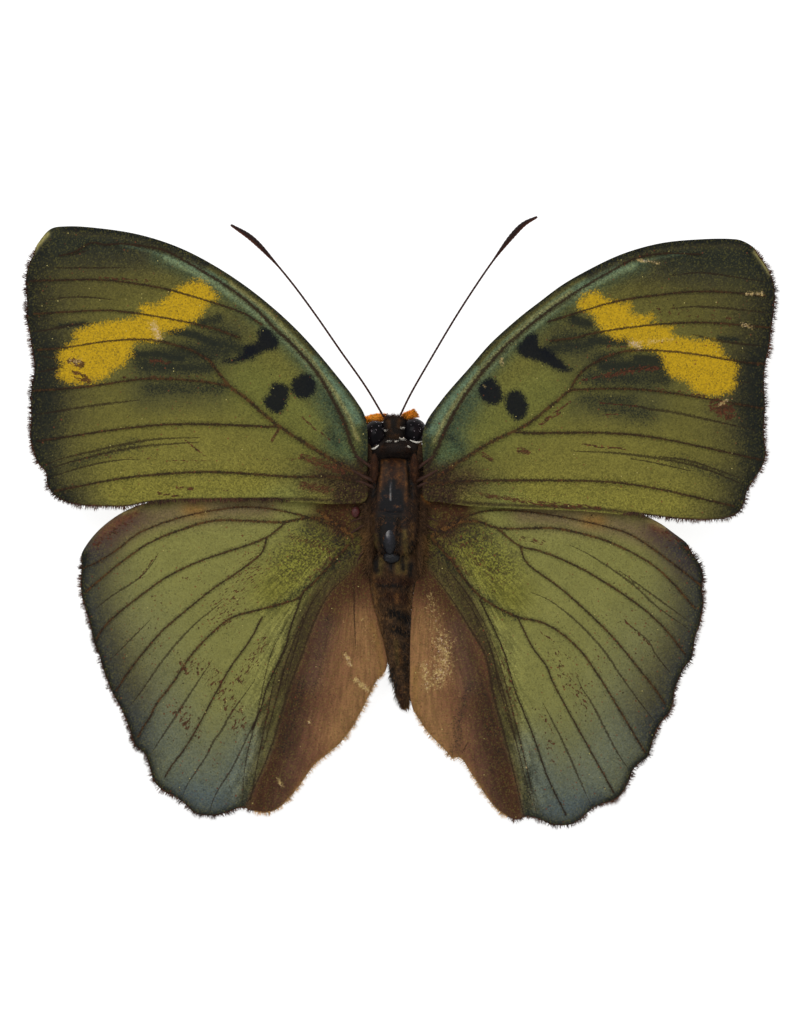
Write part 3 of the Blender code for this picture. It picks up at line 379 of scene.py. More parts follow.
RIGHT_HINDWING = {
    "anal": [
        (1.8, -6), (3.5, -8), (5.2, -10.2), (7.3, -13.5), (9, -16.5), (9.7, -20), (10.4, -22.8),
        (11.3, -26.2), (12.3, -29.5), (12.8, -32.5), (13, -35), (6, -34), (-1, -26), (-1, -10),
    ],
    "outline": [
        (3.3, -0.7), (5.5, -0.6), (10, -0.6), (14, -0.7), (18.5, -0.9), (21.5, -1.35), (24.4, -2.3),
        (26.5, -3.3), (27.9, -4.3), (29.2, -5.3), (30.2, -6.4), (30.95, -7.6), (31.2, -8.8), (31.1, -9.9),
        (31.25, -11.1), (31.05, -12.5), (30.8, -13.7), (30.4, -14.8), (30.2, -16.1), (30, -17), (29.2, -18),
        (28.7, -19.1), (28.3, -20.3), (28.2, -21.2), (27.8, -22.4), (26.9, -23.5), (26.3, -24.7),
        (25.9, -26), (25.55, -26.9), (24.7, -27.6), (24.1, -28.2), (23.7, -29.3), (22.9, -30.7),
        (22.1, -31.35), (20.9, -31.75), (20, -32.1), (18.8, -33.2), (17.8, -33.75), (16.8, -33.9),
        (15.6, -33.8), (14.5, -33.35), (13.3, -33.05), (12.2, -33.35), (11.3, -33.1), (10.3, -32.5),
        (9.2, -31.3), (8.2, -29.8), (7.2, -28.3), (6.35, -27.1), (5.7, -27.25), (4.9, -26.4), (3.8, -25.3),
        (2.8, -24.2), (2.15, -23.1), (1.9, -22), (1.8, -21), (1.9, -18), (2.05, -14.5), (2.4, -11), (3, -8),
        (3.3, -6), (3.2, -4),
    ],
    "costa": (1, 8),
    "fringe": (9, 54),
    "outer": (9, 43),
    "tuck": 53,
    "veins": [
        (0.09, 0.08, 0.5, [(4.5, -3.8), (8.5, -2.2), (13.5, -2.2), (22.5, -4.05), (24, -4.7), (26, -6),
            (30.7, -9.6)]),
        (0.16, 0.14, 1, [(3.7, -4.5), (6.7, -3.1)]),
        (0.13, 0.09, 0.6, [(6.7, -3.1), (8.5, -3.2), (10.2, -3.8), (16, -3.85), (19, -4.45), (21.7, -5.3),
            (25.5, -7.3), (27.5, -9), (30, -11.8)]),
        (0.1, 0.09, 0.4, [(10.2, -3.8), (12.5, -5.6), (14.5, -6.1), (18.5, -7.8), (23.5, -10.9),
            (26.5, -13.35), (29.1, -16.5)]),
        (0.09, 0.09, 0.4, [(12.5, -5.6), (13, -7), (13.5, -7.6), (16.5, -9.8), (21.3, -14.2), (24.5, -18),
            (26.3, -20.3), (27, -21.4)]),
        (0.12, 0.09, 0.5, [(3.7, -4.8), (6, -7.5), (6.5, -8.3), (8.7, -10.8), (12.3, -12.7), (14.5, -13.2),
            (16, -13.9), (18, -15.5), (19.5, -17.3), (25, -26.2)]),
        (0.08, 0.08, 0.2, [(12.3, -12.8), (13.8, -15.8), (15.2, -17.7), (15.7, -19), (21.9, -30.3)]),
        (0.07, 0.08, 0, [(8.5, -11), (10.2, -14.5), (11, -16.5), (12, -20), (13.8, -24.5), (15.3, -28.8),
            (17.1, -32.5)]),
    ],
    "folds": [
        (0.07, [(8.8, -13), (10.4, -17), (11.6, -21.5), (13, -27), (14.2, -32.5)]),
        (0.07, [(9.4, -15.5), (10.8, -20), (12.2, -25.5), (13.6, -31)]),
        (0.07, [(6, -9.4), (8, -12.4), (9.6, -15.8), (10.4, -19.6), (12, -25)]),
        (0.07, [(5, -7.6), (7.2, -10.4), (9, -13.4)]),
        (0.12, [(3.6, -8.2), (5.3, -10.4), (7.4, -13.7), (9.1, -16.7), (9.8, -20.2), (11.4, -26.3),
            (12.9, -32.6)]),
        (0.1, [(13.5, -10.2), (15, -10.8), (16, -11.4), (18, -13), (20, -15), (21, -16.2), (23.3, -19.6),
            (26, -23.2)]),
        (0.1, [(18.3, -18.8), (18.8, -20), (19.5, -21), (22.4, -26.5), (23.3, -27.8)]),
        (0.1, [(14.8, -21.3), (16.7, -25), (19.5, -31.3)]),
        (0.1, [(17.5, -5.5), (19.5, -6.5), (24, -9.6), (26, -11.5), (29.5, -14)]),
        (0.08, [(22.5, -8.1), (29.5, -13.2)]),
        (0.08, [(23, -13.1), (25.5, -15.3), (26, -16.3), (27.7, -18.5)]),
        (0.06, [(6.7, -26.4), (7.3, -25.3)]),
    ],
    "yellow": [],
    "black": [],
    # The last two dusk strokes lie along folds of the anal field: painted shade.
    "dusk": [
        (0.4, 0.5, [(4.5, -6.2), (8, -10.2), (12, -12.8)]), (0.35, 1.4, [(6, -4.4), (9, -5)]),
        (0.35, 0.5, [(13.4, -28), (13.2, -32)]), (0.32, 0.5, [(6.1, -26), (6.3, -23.5), (7.4, -19.5)]),
        (0.2, 0.9, [(8.6, -19.5), (10.6, -27)]),
    ],
    "fleck": [
        (0.54, 2, [(16, -16.5), (19, -21.5)]), (0.54, 1.2, [(15, -22.5), (16, -27)]),
        (0.65, 0.5, [(12.6, -4.8), (15, -5.3)]), (0.7, 0.2, [(14.6, -14.2), (16, -15.2)]),
        (0.6, 0.8, [(9.5, -4.6), (6.5, -5.6)]), (0.6, 0.5, [(7.5, -8.6), (5.4, -6.6)]),
        (0.55, 1.6, [(7, -5.5), (10, -9)]), (0.95, 0.12, [(23, -13.1), (25.5, -15.5)]),
        (0.6, 0.15, [(24.5, -12.8), (25.7, -13.8)]), (0.6, 1.2, [(29.5, -6), (27, -4.2)]),
        (0.4, 5, [(24, -12), (17, -27)]), (0.55, 1.2, [(10.5, -16), (12, -22)]),
    ],
    "bare": [
        (0.5, 0.7, [(3.6, -10.5), (4.2, -14)]), (0.68, 1.5, [(4.6, -15.2), (4.9, -17.2), (4.3, -18.8)]),
        (0.7, 0.6, [(2.9, -17.5), (3.2, -19.8)]), (0.4, 1.5, [(3.6, -11.5), (4.8, -18.5)]),
        (0.14, 3, [(5.5, -14), (8, -24)]), (0.6, 0.15, [(12.9, -27), (13.2, -28)]),
    ],
    "silk": [
        (1, 2.6, [(3.8, -9.5), (5.5, -17), (7.5, -23.5), (10, -30)]),
        (0.9, 1.8, [(5, -5), (8.5, -9.5), (10.2, -15), (11.7, -22), (13.5, -31)]),
        (0.7, 2.4, [(5, -4.5), (9, -7), (11.5, -11)]),
    ],
}

# Soft strokes of ground colour on the left wings, laid one over another: colour, strength, width, points.
# In place of points stands an edge's name, the distance inside it and, between 0 and 1, start and end.
FOREWING_GROUND = [
    ("bright olive", 0.9, 4.6, [(-26.5, 2), (-19.5, 4), (-15, 2.5)]),
    ("cell olive", 0.9, 3.4, [(-15, 11), (-8.5, 6.6)]),
    ("green olive", 0.8, 1.3, [(-20.5, -0.5), (-10.5, -0.6)]),
    ("brown olive", 0.75, 2.6, [(-31, 20.5), (-21, 21.8)]),
    ("dark olive", 0.8, 2.6, [(-24.5, 11.5), (-18.5, 14), (-16, 16.2)]),
    ("dark olive", 0.6, 1.7, [(-25, 9.4), (-18, 9.5)]),
    ("umber", 0.75, 6, ("outer", 0, 0, 0.55)),
    ("umber", 0.7, 3.6, ("outer", 0, 0.5, 1)),
    ("margin", 0.85, 3, ("outer", 0.3, 0, 0.6)),
    ("margin", 0.75, 1.8, ("outer", 0.3, 0.55, 1)),
    ("gold olive", 0.9, 1.7, [(-27.5, -0.1), (-21, 0.2), (-14, 0.6)]),
    ("umber", 0.8, 1.7, [(-30.5, 23.2), (-22.5, 23.7)]),
    ("apex", 0.95, 2.2, [(-35.5, 24.5), (-31.5, 25), (-26.5, 25)]),
    ("dull teal", 0.9, 1.6, [(-7, 9.4), (-5.4, 6.4), (-5.7, 4.6)]),
    ("base olive", 0.6, 1.8, [(-8.6, 1), (-6.6, 2.2)]),
    ("base brown", 0.75, 1.2, [(-7.2, 1.5), (-5.4, 0.2)]),
    ("base brown", 1.9, 1.3, [(-4.4, 2), (-3.4, 0.6), (-4.6, -0.6)]),
    ("root teal", 0.85, 1, [(-5.7, 4.4), (-4.4, 3.5)]),
    ("root shade", 0.95, 0.65, [(-2.9, 7.2), (-3, 5), (-2.9, 3)]),
    ("dull teal", 0.85, 1, ("costa", 1.6, 0, 0.72)),
    ("pale teal", 0.9, 0.34, ("costa", 1.5, 0, 0.7)),
    ("teal", 0.95, 0.6, ("costa", 0.75, 0, 0.66)),
    ("pale teal", 0.95, 0.3, ("costa", 1.45, 0.1, 0.7)),
    ("brown olive", 1.2, 0.28, ("costa", 0.4, 0.22, 0.8)),
    ("teal", 0.5, 0.16, ("costa", 1.35, 0.62, 0.85)),
    # Painted shade: a dark line beside the raised vein near the front edge, next to its golden ridge.
    ("dark olive", 0.7, 0.2, [(-4.2, 5), (-5, 7.2), (-6.3, 9.4), (-8.7, 12.8), (-13.1, 17.5), (-17, 20.4)]),
    ("ridge gold", 0.85, 0.18, [(-3.7, 5), (-4.6, 7.3), (-5.9, 9.6), (-8.3, 13), (-12.7, 17.8),
        (-16.5, 20.7)]),
    ("umber", 0.9, 0.4, ("costa", 0.55, 0.6, 1)),
    ("edge black", 0.9, 0.32, ("costa", 0.05, 0, 1)),
    ("edge black", 0.9, 0.4, ("costa", 0.2, 0.6, 1)),
    ("edge black", 0.85, 0.7, ("outer", 0.4)),
    ("straw", 0.75, 0.26, [(-36.3, 23.6), (-35.6, 24.6), (-34.7, 25.6)]),
    ("vein", 0.8, 0.16, ("rear", 0.3)),
]
# The rusty root of the left hindwing is painted, and it keeps speckles off.
RUSTY_ROOT = [(-3.8, -0.8), (-6.3, -1.7), (-5.2, -3.7)]
HINDWING_GROUND = [
    ("hind grey", 0.8, 5.5, [(-26, -16), (-22, -24), (-17.5, -29)]),
    ("hind grey", 0.6, 3.5, [(-29, -9), (-28, -15)]),
    ("slate", 0.85, 3.8, [(-25.5, -22), (-22, -27), (-17.5, -29), (-15, -27)]),
    ("blue slate", 0.9, 2, [(-21.5, -30.5), (-16.8, -31.3), (-15, -29)]),
    ("dull brown", 0.8, 1.3, [(-28, -3.6), (-20.5, -2), (-13, -1.6)]),
    ("tan", 0.8, 1, [(-21, -2.2), (-18.6, -2.1)]),
    ("hind umber", 0.75, 3, [(-30.5, -6), (-30.8, -11), (-29, -16), (-27, -20)]),
    ("red brown", 0.9, 1.7, [(-29.8, -5.6), (-26.6, -2.6)]),
    ("speckled green", 0.85, 2.4, [(-7, -5), (-10, -8), (-12, -10)]),
    ("base brown", 1.5, 1.5, [(-4, -2.6), (-4.4, -5), (-5.2, -7.4)]),
    ("base brown", 0.7, 1.1, [(-5, -3.6), (-8, -3.2)]),
    ("root rust", 1.3, 1.5, RUSTY_ROOT),
    ("base olive", 0.8, 1.6, [(-5.6, -8.6), (-8.3, -12.2), (-10, -17.2), (-11.5, -21.5)]),
    ("streak dark", 1.3, 0.85, [(-5.4, -8), (-7.3, -10.1), (-8.8, -12.9), (-10.1, -16.4), (-11.3, -19.6),
        (-12.6, -23.5)]),
    ("streak dark", 1.1, 0.75, [(-12.6, -23.5), (-13.6, -27), (-15, -30.5)]),
    ("base olive", 0.7, 1.2, [(-11.5, -21.5), (-13.6, -27.5), (-15, -31.5)]),
    ("slate", 0.6, 1.3, [(-14.4, -25), (-15.8, -30)]),
    ("rust", 0.6, 0.4, [(-26, -2.2), (-29, -4), (-30.9, -6.6)]),
    ("straw", 0.5, 0.3, [(-27.2, -2.3), (-25.5, -1.7)]),
    ("hair orange", 0.35, 0.7, [(-20.6, -2), (-19.5, -2.1)]),
    ("border", 0.8, 2.2, ("outer", 0.2, 0, 0.55)),
    ("border", 0.5, 1.4, ("outer", 0.2, 0.5, 1)),
    ("edge black", 1.1, 0.42, ("outer", 0.35, 0, 0.75)),
    ("edge black", 0.8, 0.4, ("outer", 0.35, 0.7, 1)),
]
ANAL_GROUND = [
    ("anal dark", 0.9, 2.4, [(-10.6, -22.5), (-11.4, -27), (-12.6, -31)]),
    ("anal light", 0.85, 1.7, [(-3.4, -13), (-2.8, -18), (-4.2, -21.5), (-6, -24.6)]),
    ("anal light", 0.4, 1.6, [(-5, -13.5), (-6, -19)]),
    ("bark", 0.38, 2.2, [(-4.6, -9), (-7.2, -14.4), (-9.2, -19.8)]),
    ("bark", 0.8, 1.3, [(-4.4, -7.6), (-6.6, -11.6), (-8.6, -16.4), (-10.4, -21.5), (-12, -26.5),
        (-13.6, -31.4)]),
    ("bark", 0.8, 1.6, [(-2.8, -6.6), (-4.2, -9)]),
    ("anal gold", 0.7, 0.4, ("inner", 0.2)),
    ("bark", 0.7, 1.7, [(-2.6, -7.2), (-3.7, -9.4)]),
    # Painted sheen: a faint lilac sheen across the middle of the brown field.
    ("lilac", 0.12, 1.3, [(-7, -13.5), (-8.5, -19)]),
]
# The speckled field behind the root. The two strokes are (strength, width).
SPECKLED_BASE = [(-5.6, -4.4), (-8, -5.6), (-10.5, -7.6)]
SPECKLED_STROKE = (0.65, 2.4)
RUSTY_STROKE = (1.2, 1.6)
# The edge beside the body, in points of the outline before and after the end of the fringe.
INNER_BEFORE = 9
INNER_AFTER = 2
# How far the strokes turn on the right wings, in degrees, and how softly the brown inner field ends.
GROUND_TURN = 3.0
ANAL_BLEND = 0.55

# How much tones differ from scale to scale: more near the edge, less at the tip and in the brown inner field.
GRIT = 0.36
GRIT_AT_EDGE = 0.42
GRIT_REACH = 5.0
HINDWING_GRIT = 0.6
SPECKLE_GRIT = 0.6
SMOOTH_TIP = 0.6
SMOOTH_REACH = 5.0
ANAL_SMOOTH = 0.85
ANAL_SILK = 0.4
FLOW_ACROSS = 9.0
FLOW_ALONG = 0.16

# How many scales, grains and specks lie along a millimetre, and how strongly each layer shows.
SCALES_PER_MM = 8.5
SPECKLES_PER_MM = 6.2
DUST_PER_MM = 5.0
FLECKS_PER_MM = 3.2
RUST_DOTS_PER_MM = 2.7
SPECKS_PER_MM = 1.9
UNDERSIDE_TAN = 0.5
WARM_SHARE = 0.22
DARKEST_SCALE = 0.22
DUSK_SHARE = 0.66
MARK_COVER = 0.96
FLECK_SHARE = 0.45
DUST_TINT = 0.48
DUST_COVER = 0.62
# The pale specks are painted glints of single scales.
GLINT_ABOVE = 0.93
DARK_ABOVE = 0.97
DARK_WITH_GRIT = 0.35
RUSTY_ABOVE = 0.9

# The fringe's hairs, and the shape of every hair: where it bends and how thick it is there.
FRINGE_PER_MM = 36.0
FRINGED_FROM = 0.02
FRINGE_LEAN = 0.3
FRINGE_LEAST = 0.1
FRINGE_MORE = 1.15
FRINGE_ROOTED = 0.12
FRINGE_WIDTHS = (0.024, 0.045)
PALE_THINNER = 0.7
HAIR_KNEE = 0.5
HAIR_KNEE_WIDTH = 0.75
SEED = 7
# The distance of a line or an outline that isn't there.
FAR = 30.0
NO_MARK = -9.0


def palette(name):
    """A named colour as three shares of full brightness, gamma encoded."""
    return np.array([int(PALETTE[name][i:i + 2], 16) / 255.0 for i in (1, 3, 5)])


def linear(colour):
    colour = np.asarray(colour, float)
    return np.where(colour <= 0.04045, colour / 12.92, ((colour + 0.055) / 1.055) ** 2.4)


def smooth_line(points, step, closed=False):
    """Points about one step apart on the centripetal Catmull-Rom curve through the given ones."""
    given = np.array(points, float)
    count = len(given)
    if closed:
        padded = np.vstack([given[-1], given, given[:2]])
    else:
        padded = np.vstack([2 * given[0] - given[1], given, 2 * given[-1] - given[-2]])
    line = []
    for i in range(count if closed else count - 1):
        p0, p1, p2, p3 = padded[i:i + 4]
        t1 = np.linalg.norm(p1 - p0) ** 0.5
        t2 = t1 + np.linalg.norm(p2 - p1) ** 0.5
        t3 = t2 + np.linalg.norm(p3 - p2) ** 0.5
        pieces = max(1, round(np.linalg.norm(p2 - p1) / step))
        for k in range(pieces):
            t = t1 + (t2 - t1) * k / pieces
            a1 = p0 * (t1 - t) / t1 + p1 * t / t1
            a2 = p1 * (t2 - t) / (t2 - t1) + p2 * (t - t1) / (t2 - t1)
            a3 = p2 * (t3 - t) / (t3 - t2) + p3 * (t - t2) / (t3 - t2)
            b1 = a1 * (t2 - t) / t2 + a2 * t / t2
            b2 = a2 * (t3 - t) / (t3 - t1) + a3 * (t - t1) / (t3 - t1)
            line.append(b1 * (t2 - t) / (t2 - t1) + b2 * (t - t1) / (t2 - t1))
    if not closed:
        line.append(given[-1])
    return np.array(line)


def line_distance(places, line):
    """For each place, its distance to a polyline and how far along it, from 0 to 1, the nearest point is."""
    line = np.asarray(line, float)
    best = np.full(len(places), 1e9)
    along = np.zeros(len(places))
    if len(line) == 1:
        return np.hypot(*(places - line[0]).T), along
    for i in range(len(line) - 1):
        start = line[i]
        run = line[i + 1] - start
        share = np.clip(((places - start) @ run) / max(run @ run, 1e-12), 0.0, 1.0)
        gap = np.hypot(places[:, 0] - start[0] - share * run[0], places[:, 1] - start[1] - share * run[1])
        nearer = gap < best
        best[nearer] = gap[nearer]
        along[nearer] = (i + share[nearer]) / (len(line) - 1)
    return best, along


def is_inside(places, ring):
    """Which places lie inside a closed outline."""
    inside = np.zeros(len(places), bool)
    x, y = places.T
    for (x1, y1), (x2, y2) in zip(ring, np.roll(ring, -1, axis=0)):
        if y1 == y2:
            continue
        crosses = (y1 > y) != (y2 > y)
        inside ^= crosses & (x < (x2 - x1) * (y - y1) / (y2 - y1) + x1)
    return inside


def shape_distance(places, rings):
    """The signed distance into the nearest of several closed outlines, positive inside."""
    best = np.full(len(places), NO_MARK)
    for ring in rings:
        line = smooth_line(ring, LINE_STEP, closed=True)
        gap = line_distance(places, np.vstack([line, line[:1]]))[0]
        best = np.maximum(best, np.where(is_inside(places, line), gap, -gap))
    return best


def brush(places, strokes):
    """The strength, from 0 to 1, that soft strokes leave at each place. One above 1 has a flat middle."""
    value = np.zeros(len(places))
    for strength, width, line in strokes:
        gap = line_distance(places, line)[0]
        value = np.maximum(value, np.minimum(strength * np.exp(-((gap / width) ** 2)), 1.0))
    return value


def normals_of(ring):
    """Unit vectors pointing out of a closed outline, one a point."""
    run = np.roll(ring, -1, axis=0) - np.roll(ring, 1, axis=0)
    out = np.column_stack([run[:, 1], -run[:, 0]])
    out /= np.maximum(np.linalg.norm(out, axis=1), 1e-9)[:, None]
    area = np.sum(ring[:, 0] * np.roll(ring[:, 1], -1) - np.roll(ring[:, 0], -1) * ring[:, 1])
    return out if area > 0 else -out


def wing_height(x, y, drop, dip):
    """The height of a wing's middle sheet, as in the part: a slight rise to the tips over a low arch."""
    across = np.minimum(np.abs(x) / HALF_SPAN, 1.0)
    behind = np.clip((-y - DIP_START) / DIP_LENGTH, 0.0, 1.0)
    beside = np.exp(-((np.abs(x) / DIP_REACH) ** 2))
    arch = WING_ARCH * np.sin(math.pi * across)
    return ROOT_HEIGHT + WING_RISE * np.abs(x) + arch - drop - dip * behind * beside


def ripple(x, y):
    """The slight waviness of a dried wing."""
    wave = np.sin(0.42 * x + 0.23 * y + 1.0) + 0.7 * np.sin(-0.31 * x + 0.55 * y + 2.0)
    return RIPPLE * (wave + 0.5 * np.sin(0.93 * x + 0.71 * y))


def add_piece(name, points, faces, materials, face_materials=None, attributes=None, rim=0):
    """A mesh of millimetre points, with named values, that rides on the body. The last faces stay flat."""
    mesh = bpy.data.meshes.new(name)
    mesh.from_pydata((np.asarray(points) * MM).tolist(), [], faces)
    for material in materials:
        mesh.materials.append(material)
    if face_materials is not None:
        mesh.polygons.foreach_set("material_index", np.asarray(face_materials, np.int32))
    for key, values in (attributes or {}).items():
        values = np.asarray(values, np.float32)
        if values.ndim == 1:
            mesh.attributes.new(key, "FLOAT", "POINT").data.foreach_set("value", values)
        else:
            rgba = np.column_stack([values, np.ones(len(values), np.float32)]).astype(np.float32)
            mesh.attributes.new(key, "FLOAT_COLOR", "POINT").data.foreach_set("color", rgba.ravel())
    smooth = np.ones(len(mesh.polygons), bool)
    smooth[len(smooth) - rim:] = False
    mesh.polygons.foreach_set("use_smooth", smooth)
    mesh.update()
    thing = bpy.data.objects.new(name, mesh)
    bpy.context.scene.collection.objects.link(thing)
    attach(thing, "root")
    return thing


class Shader:
    """A material being built from nodes."""

    def __init__(self, name):
        self.material = bpy.data.materials.new(name)
        self.material.use_nodes = True
        self.tree = self.material.node_tree
        self.surface = self.tree.nodes["Principled BSDF"]
        place = self.node("TexCoord", {}, "Object")
        self.place = self.node("VectorMath", {0: place, "Scale": 1.0 / MM}, 0, operation="SCALE")

    def node(self, kind, inputs, output=0, **settings):
        made = self.tree.nodes.new("ShaderNode" + kind)
        for key, value in settings.items():
            setattr(made, key, value)
        for key, value in inputs.items():
            if isinstance(value, bpy.types.NodeSocket):
                self.tree.links.new(value, made.inputs[key])
            else:
                made.inputs[key].default_value = value
        return made.outputs[output]

    def value(self, name):
        return self.node("Attribute", {}, "Fac", attribute_name=name)

    def colour(self, name):
        return self.node("Attribute", {}, "Color", attribute_name=name)

    def math(self, operation, a, b=0.0):
        return self.node("Math", {0: a, 1: b}, 0, operation=operation)

    def noise(self, scale, detail=2.0, rough=0.55, place=None):
        inputs = {"Vector": place or self.place, "Scale": scale, "Detail": detail, "Roughness": rough}
        return self.node("TexNoise", inputs, 0)

    def cells(self, scale, output="Distance", place=None):
        return self.node("TexVoronoi", {"Vector": place or self.place, "Scale": scale}, output)

    def dice(self, scale):
        """Three numbers from 0 to 1 that differ from one tiny cell to the next."""
        split = self.tree.nodes.new("ShaderNodeSeparateColor")
        self.tree.links.new(self.cells(scale, "Color"), split.inputs[0])
        return split.outputs[0], split.outputs[1], split.outputs[2]

    def ramp(self, value, low, high, start=0.0, end=1.0):
        inputs = {0: value, 1: low, 2: high, 3: start, 4: end}
        return self.node("MapRange", inputs, 0, interpolation_type="SMOOTHSTEP")

    def shift(self, value, noise, amount):
        """The value moved up and down by a noise that is centred on a half."""
        return self.math("ADD", value, self.math("MULTIPLY", self.math("SUBTRACT", noise, 0.5), amount))

    def mix(self, share, under, over, blend="MIX"):
        def named(colour):
            return (*linear(palette(colour)), 1.0) if isinstance(colour, str) else colour

        inputs = {0: share, 6: named(under), 7: named(over)}
        return self.node("Mix", inputs, 2, data_type="RGBA", blend_type=blend)

    def times(self, colour, value):
        grey = self.node("CombineColor", {0: value, 1: value, 2: value}, 0)
        return self.mix(1.0, colour, grey, "MULTIPLY")

    def finish(self, colour, roughness, bump=None, strength=0.3, depth=0.03, specular=0.3):
        self.tree.links.new(colour, self.surface.inputs["Base Color"])
        if isinstance(roughness, bpy.types.NodeSocket):
            self.tree.links.new(roughness, self.surface.inputs["Roughness"])
        else:
            self.surface.inputs["Roughness"].default_value = roughness
        self.surface.inputs["Specular IOR Level"].default_value = specular
        if bump is not None:
            inputs = {"Strength": strength, "Distance": depth * MM, "Height": bump}
            normal = self.node("Bump", inputs, 0)
            self.tree.links.new(normal, self.surface.inputs["Normal"])
        return self.material


def scale_ground(s, dice, grain, underside):
    """The painted ground, with a tone of its own for each scale."""
    tone, hue, _ = dice
    patch = s.noise(0.5, 3.0)
    colour = s.colour("ground")
    if underside:
        colour = s.mix(UNDERSIDE_TAN, colour, "tan")
    colour = s.mix(s.math("MULTIPLY", s.ramp(hue, 0.55, 1.0), WARM_SHARE), colour, "gold olive")
    uneven = s.shift(s.shift(0.0, tone, 1.0), grain, 1.1)
    value = s.math("ADD", 1.0, s.math("MULTIPLY", uneven, s.value("grit")))
    value = s.math("ADD", value, s.ramp(patch, 0.3, 0.7, -0.06, 0.06))
    return s.times(colour, s.math("MAXIMUM", value, DARKEST_SCALE))


def scale_fields(s, colour, dice, grain):
    """The speckled fields and the silky ones, whose streaks run out from the root."""
    spot = s.shift(s.dice(SPECKLES_PER_MM)[0], grain, 0.5)
    speckled = s.mix(s.ramp(spot, 0.4, 0.62), "speckle dark", "speckle light")
    colour = s.mix(s.value("speckle"), colour, speckled)
    combed = s.node("VectorMath", {0: s.colour("flow"), 1: (1.0, 0.4, 1.0)}, 0, operation="MULTIPLY")
    streak = s.shift(s.noise(6.0, 3.0, 0.6, combed), dice[0], 0.15)
    streaked = s.times(colour, s.ramp(streak, 0.3, 0.7, 0.5, 1.5))
    return s.mix(s.value("silk"), colour, streaked)


def scale_shades(s, colour, dice, grain):
    """Dusky places, where more and more scales turn dark, and the shade along veins and in folds."""
    tone, _, chance = dice
    colour = s.mix(s.math("MULTIPLY", s.value("dusk"), DUSK_SHARE), colour, "dusk")
    shade = s.shift(s.math("SUBTRACT", s.value("dusk"), chance), grain, 0.7)
    colour = s.mix(s.ramp(shade, -0.3, 0.35, 0.0, 0.7), colour, "dusk")
    colour = s.times(colour, s.ramp(s.shift(s.value("vein"), tone, 1.5), 0.9, 4.5, 0.7, 1.0))
    fold = s.ramp(s.shift(s.value("fold"), tone, 1.0), 0.3, 1.9, 0.75, 0.0)
    return s.mix(fold, colour, "vein")


def scale_marks(s, colour, dice, grain):
    """The yellow band and the dark spots, which break up into single scales at their edges."""
    tone, hue, chance = dice
    band = s.mix(s.ramp(s.shift(chance, grain, 0.8), 0.0, 0.4, 0.6, 0.0), "yellow", "band shade")
    band = s.times(band, s.ramp(tone, 0.0, 1.0, 0.84, 1.12))
    band_at = s.shift(s.shift(s.value("yellow"), grain, 0.85), hue, 0.55)
    colour = s.mix(s.ramp(band_at, -0.3, 0.42, 0.0, MARK_COVER), colour, band)
    spot_at = s.shift(s.shift(s.value("black"), grain, 0.55), hue, 0.35)
    return s.mix(s.ramp(spot_at, -0.3, 0.24, 0.0, MARK_COVER), colour, "navy")


def scale_veins(s, colour, dice, grain):
    """Dark veins, rusty in places."""
    tone, hue, _ = dice
    line = s.ramp(s.shift(s.shift(s.value("vein"), tone, 0.9), grain, 0.7), 0.4, 1.7, 0.9, 0.0)
    rusty = s.ramp(s.shift(s.noise(1.3, 2.0), hue, 0.35), 0.44, 0.6, 0.0, 0.95)
    rusty = s.math("MULTIPLY", rusty, s.value("rust"))
    return s.mix(line, colour, s.mix(rusty, "vein", "vein brown"))


def scale_flecks(s, colour, dice, grain):
    """Where flecks gather: dark streaks along the flow, and round rusty or dark dots."""
    tone, hue, _ = dice
    flow = s.noise(10.0, 3.0, 0.65, s.colour("flow"))
    fleck_at = s.math("SUBTRACT", flow, s.ramp(s.value("fleck"), 0.15, 0.85, 0.72, 0.42))
    colour = s.mix(s.ramp(fleck_at, 0.0, 0.05, 0.0, 0.9), colour, s.mix(hue, "maroon", "vein"))
    mark, shade_of, _ = s.dice(FLECKS_PER_MM)
    here = s.math("GREATER_THAN", s.math("MULTIPLY", s.value("fleck"), FLECK_SHARE), mark)
    near = s.shift(s.shift(s.cells(FLECKS_PER_MM), tone, 0.25), grain, 0.9)
    dot = s.math("MULTIPLY", here, s.ramp(near, 0.14, 0.3, 0.85, 0.0))
    return s.mix(dot, colour, s.mix(shade_of, "rust", "vein"))


def scale_dust(s, colour, dice):
    """Rubbed places with ragged edges, tinted and strewn with pale grains."""
    tone, _, chance = dice
    rubbed = s.shift(s.shift(s.value("bare"), s.noise(2.6, 3.0, 0.7), 1.6), tone, 0.4)
    colour = s.mix(s.ramp(rubbed, 0.35, 1.0, 0.0, DUST_TINT), colour, "dust")
    dust_at = s.math("SUBTRACT", s.noise(DUST_PER_MM, 3.0, 0.6), s.ramp(rubbed, 0.2, 1.0, 0.74, 0.42))
    dust = s.mix(s.ramp(chance, 0.5, 0.9), "bare", "lilac")
    dust = s.mix(s.ramp(s.noise(2.6, 2.0), 0.42, 0.58), dust, "dust")
    dust = s.times(dust, s.ramp(tone, 0.0, 1.0, 0.75, 1.2))
    return s.mix(s.ramp(dust_at, 0.0, 0.1, 0.0, DUST_COVER), colour, dust)


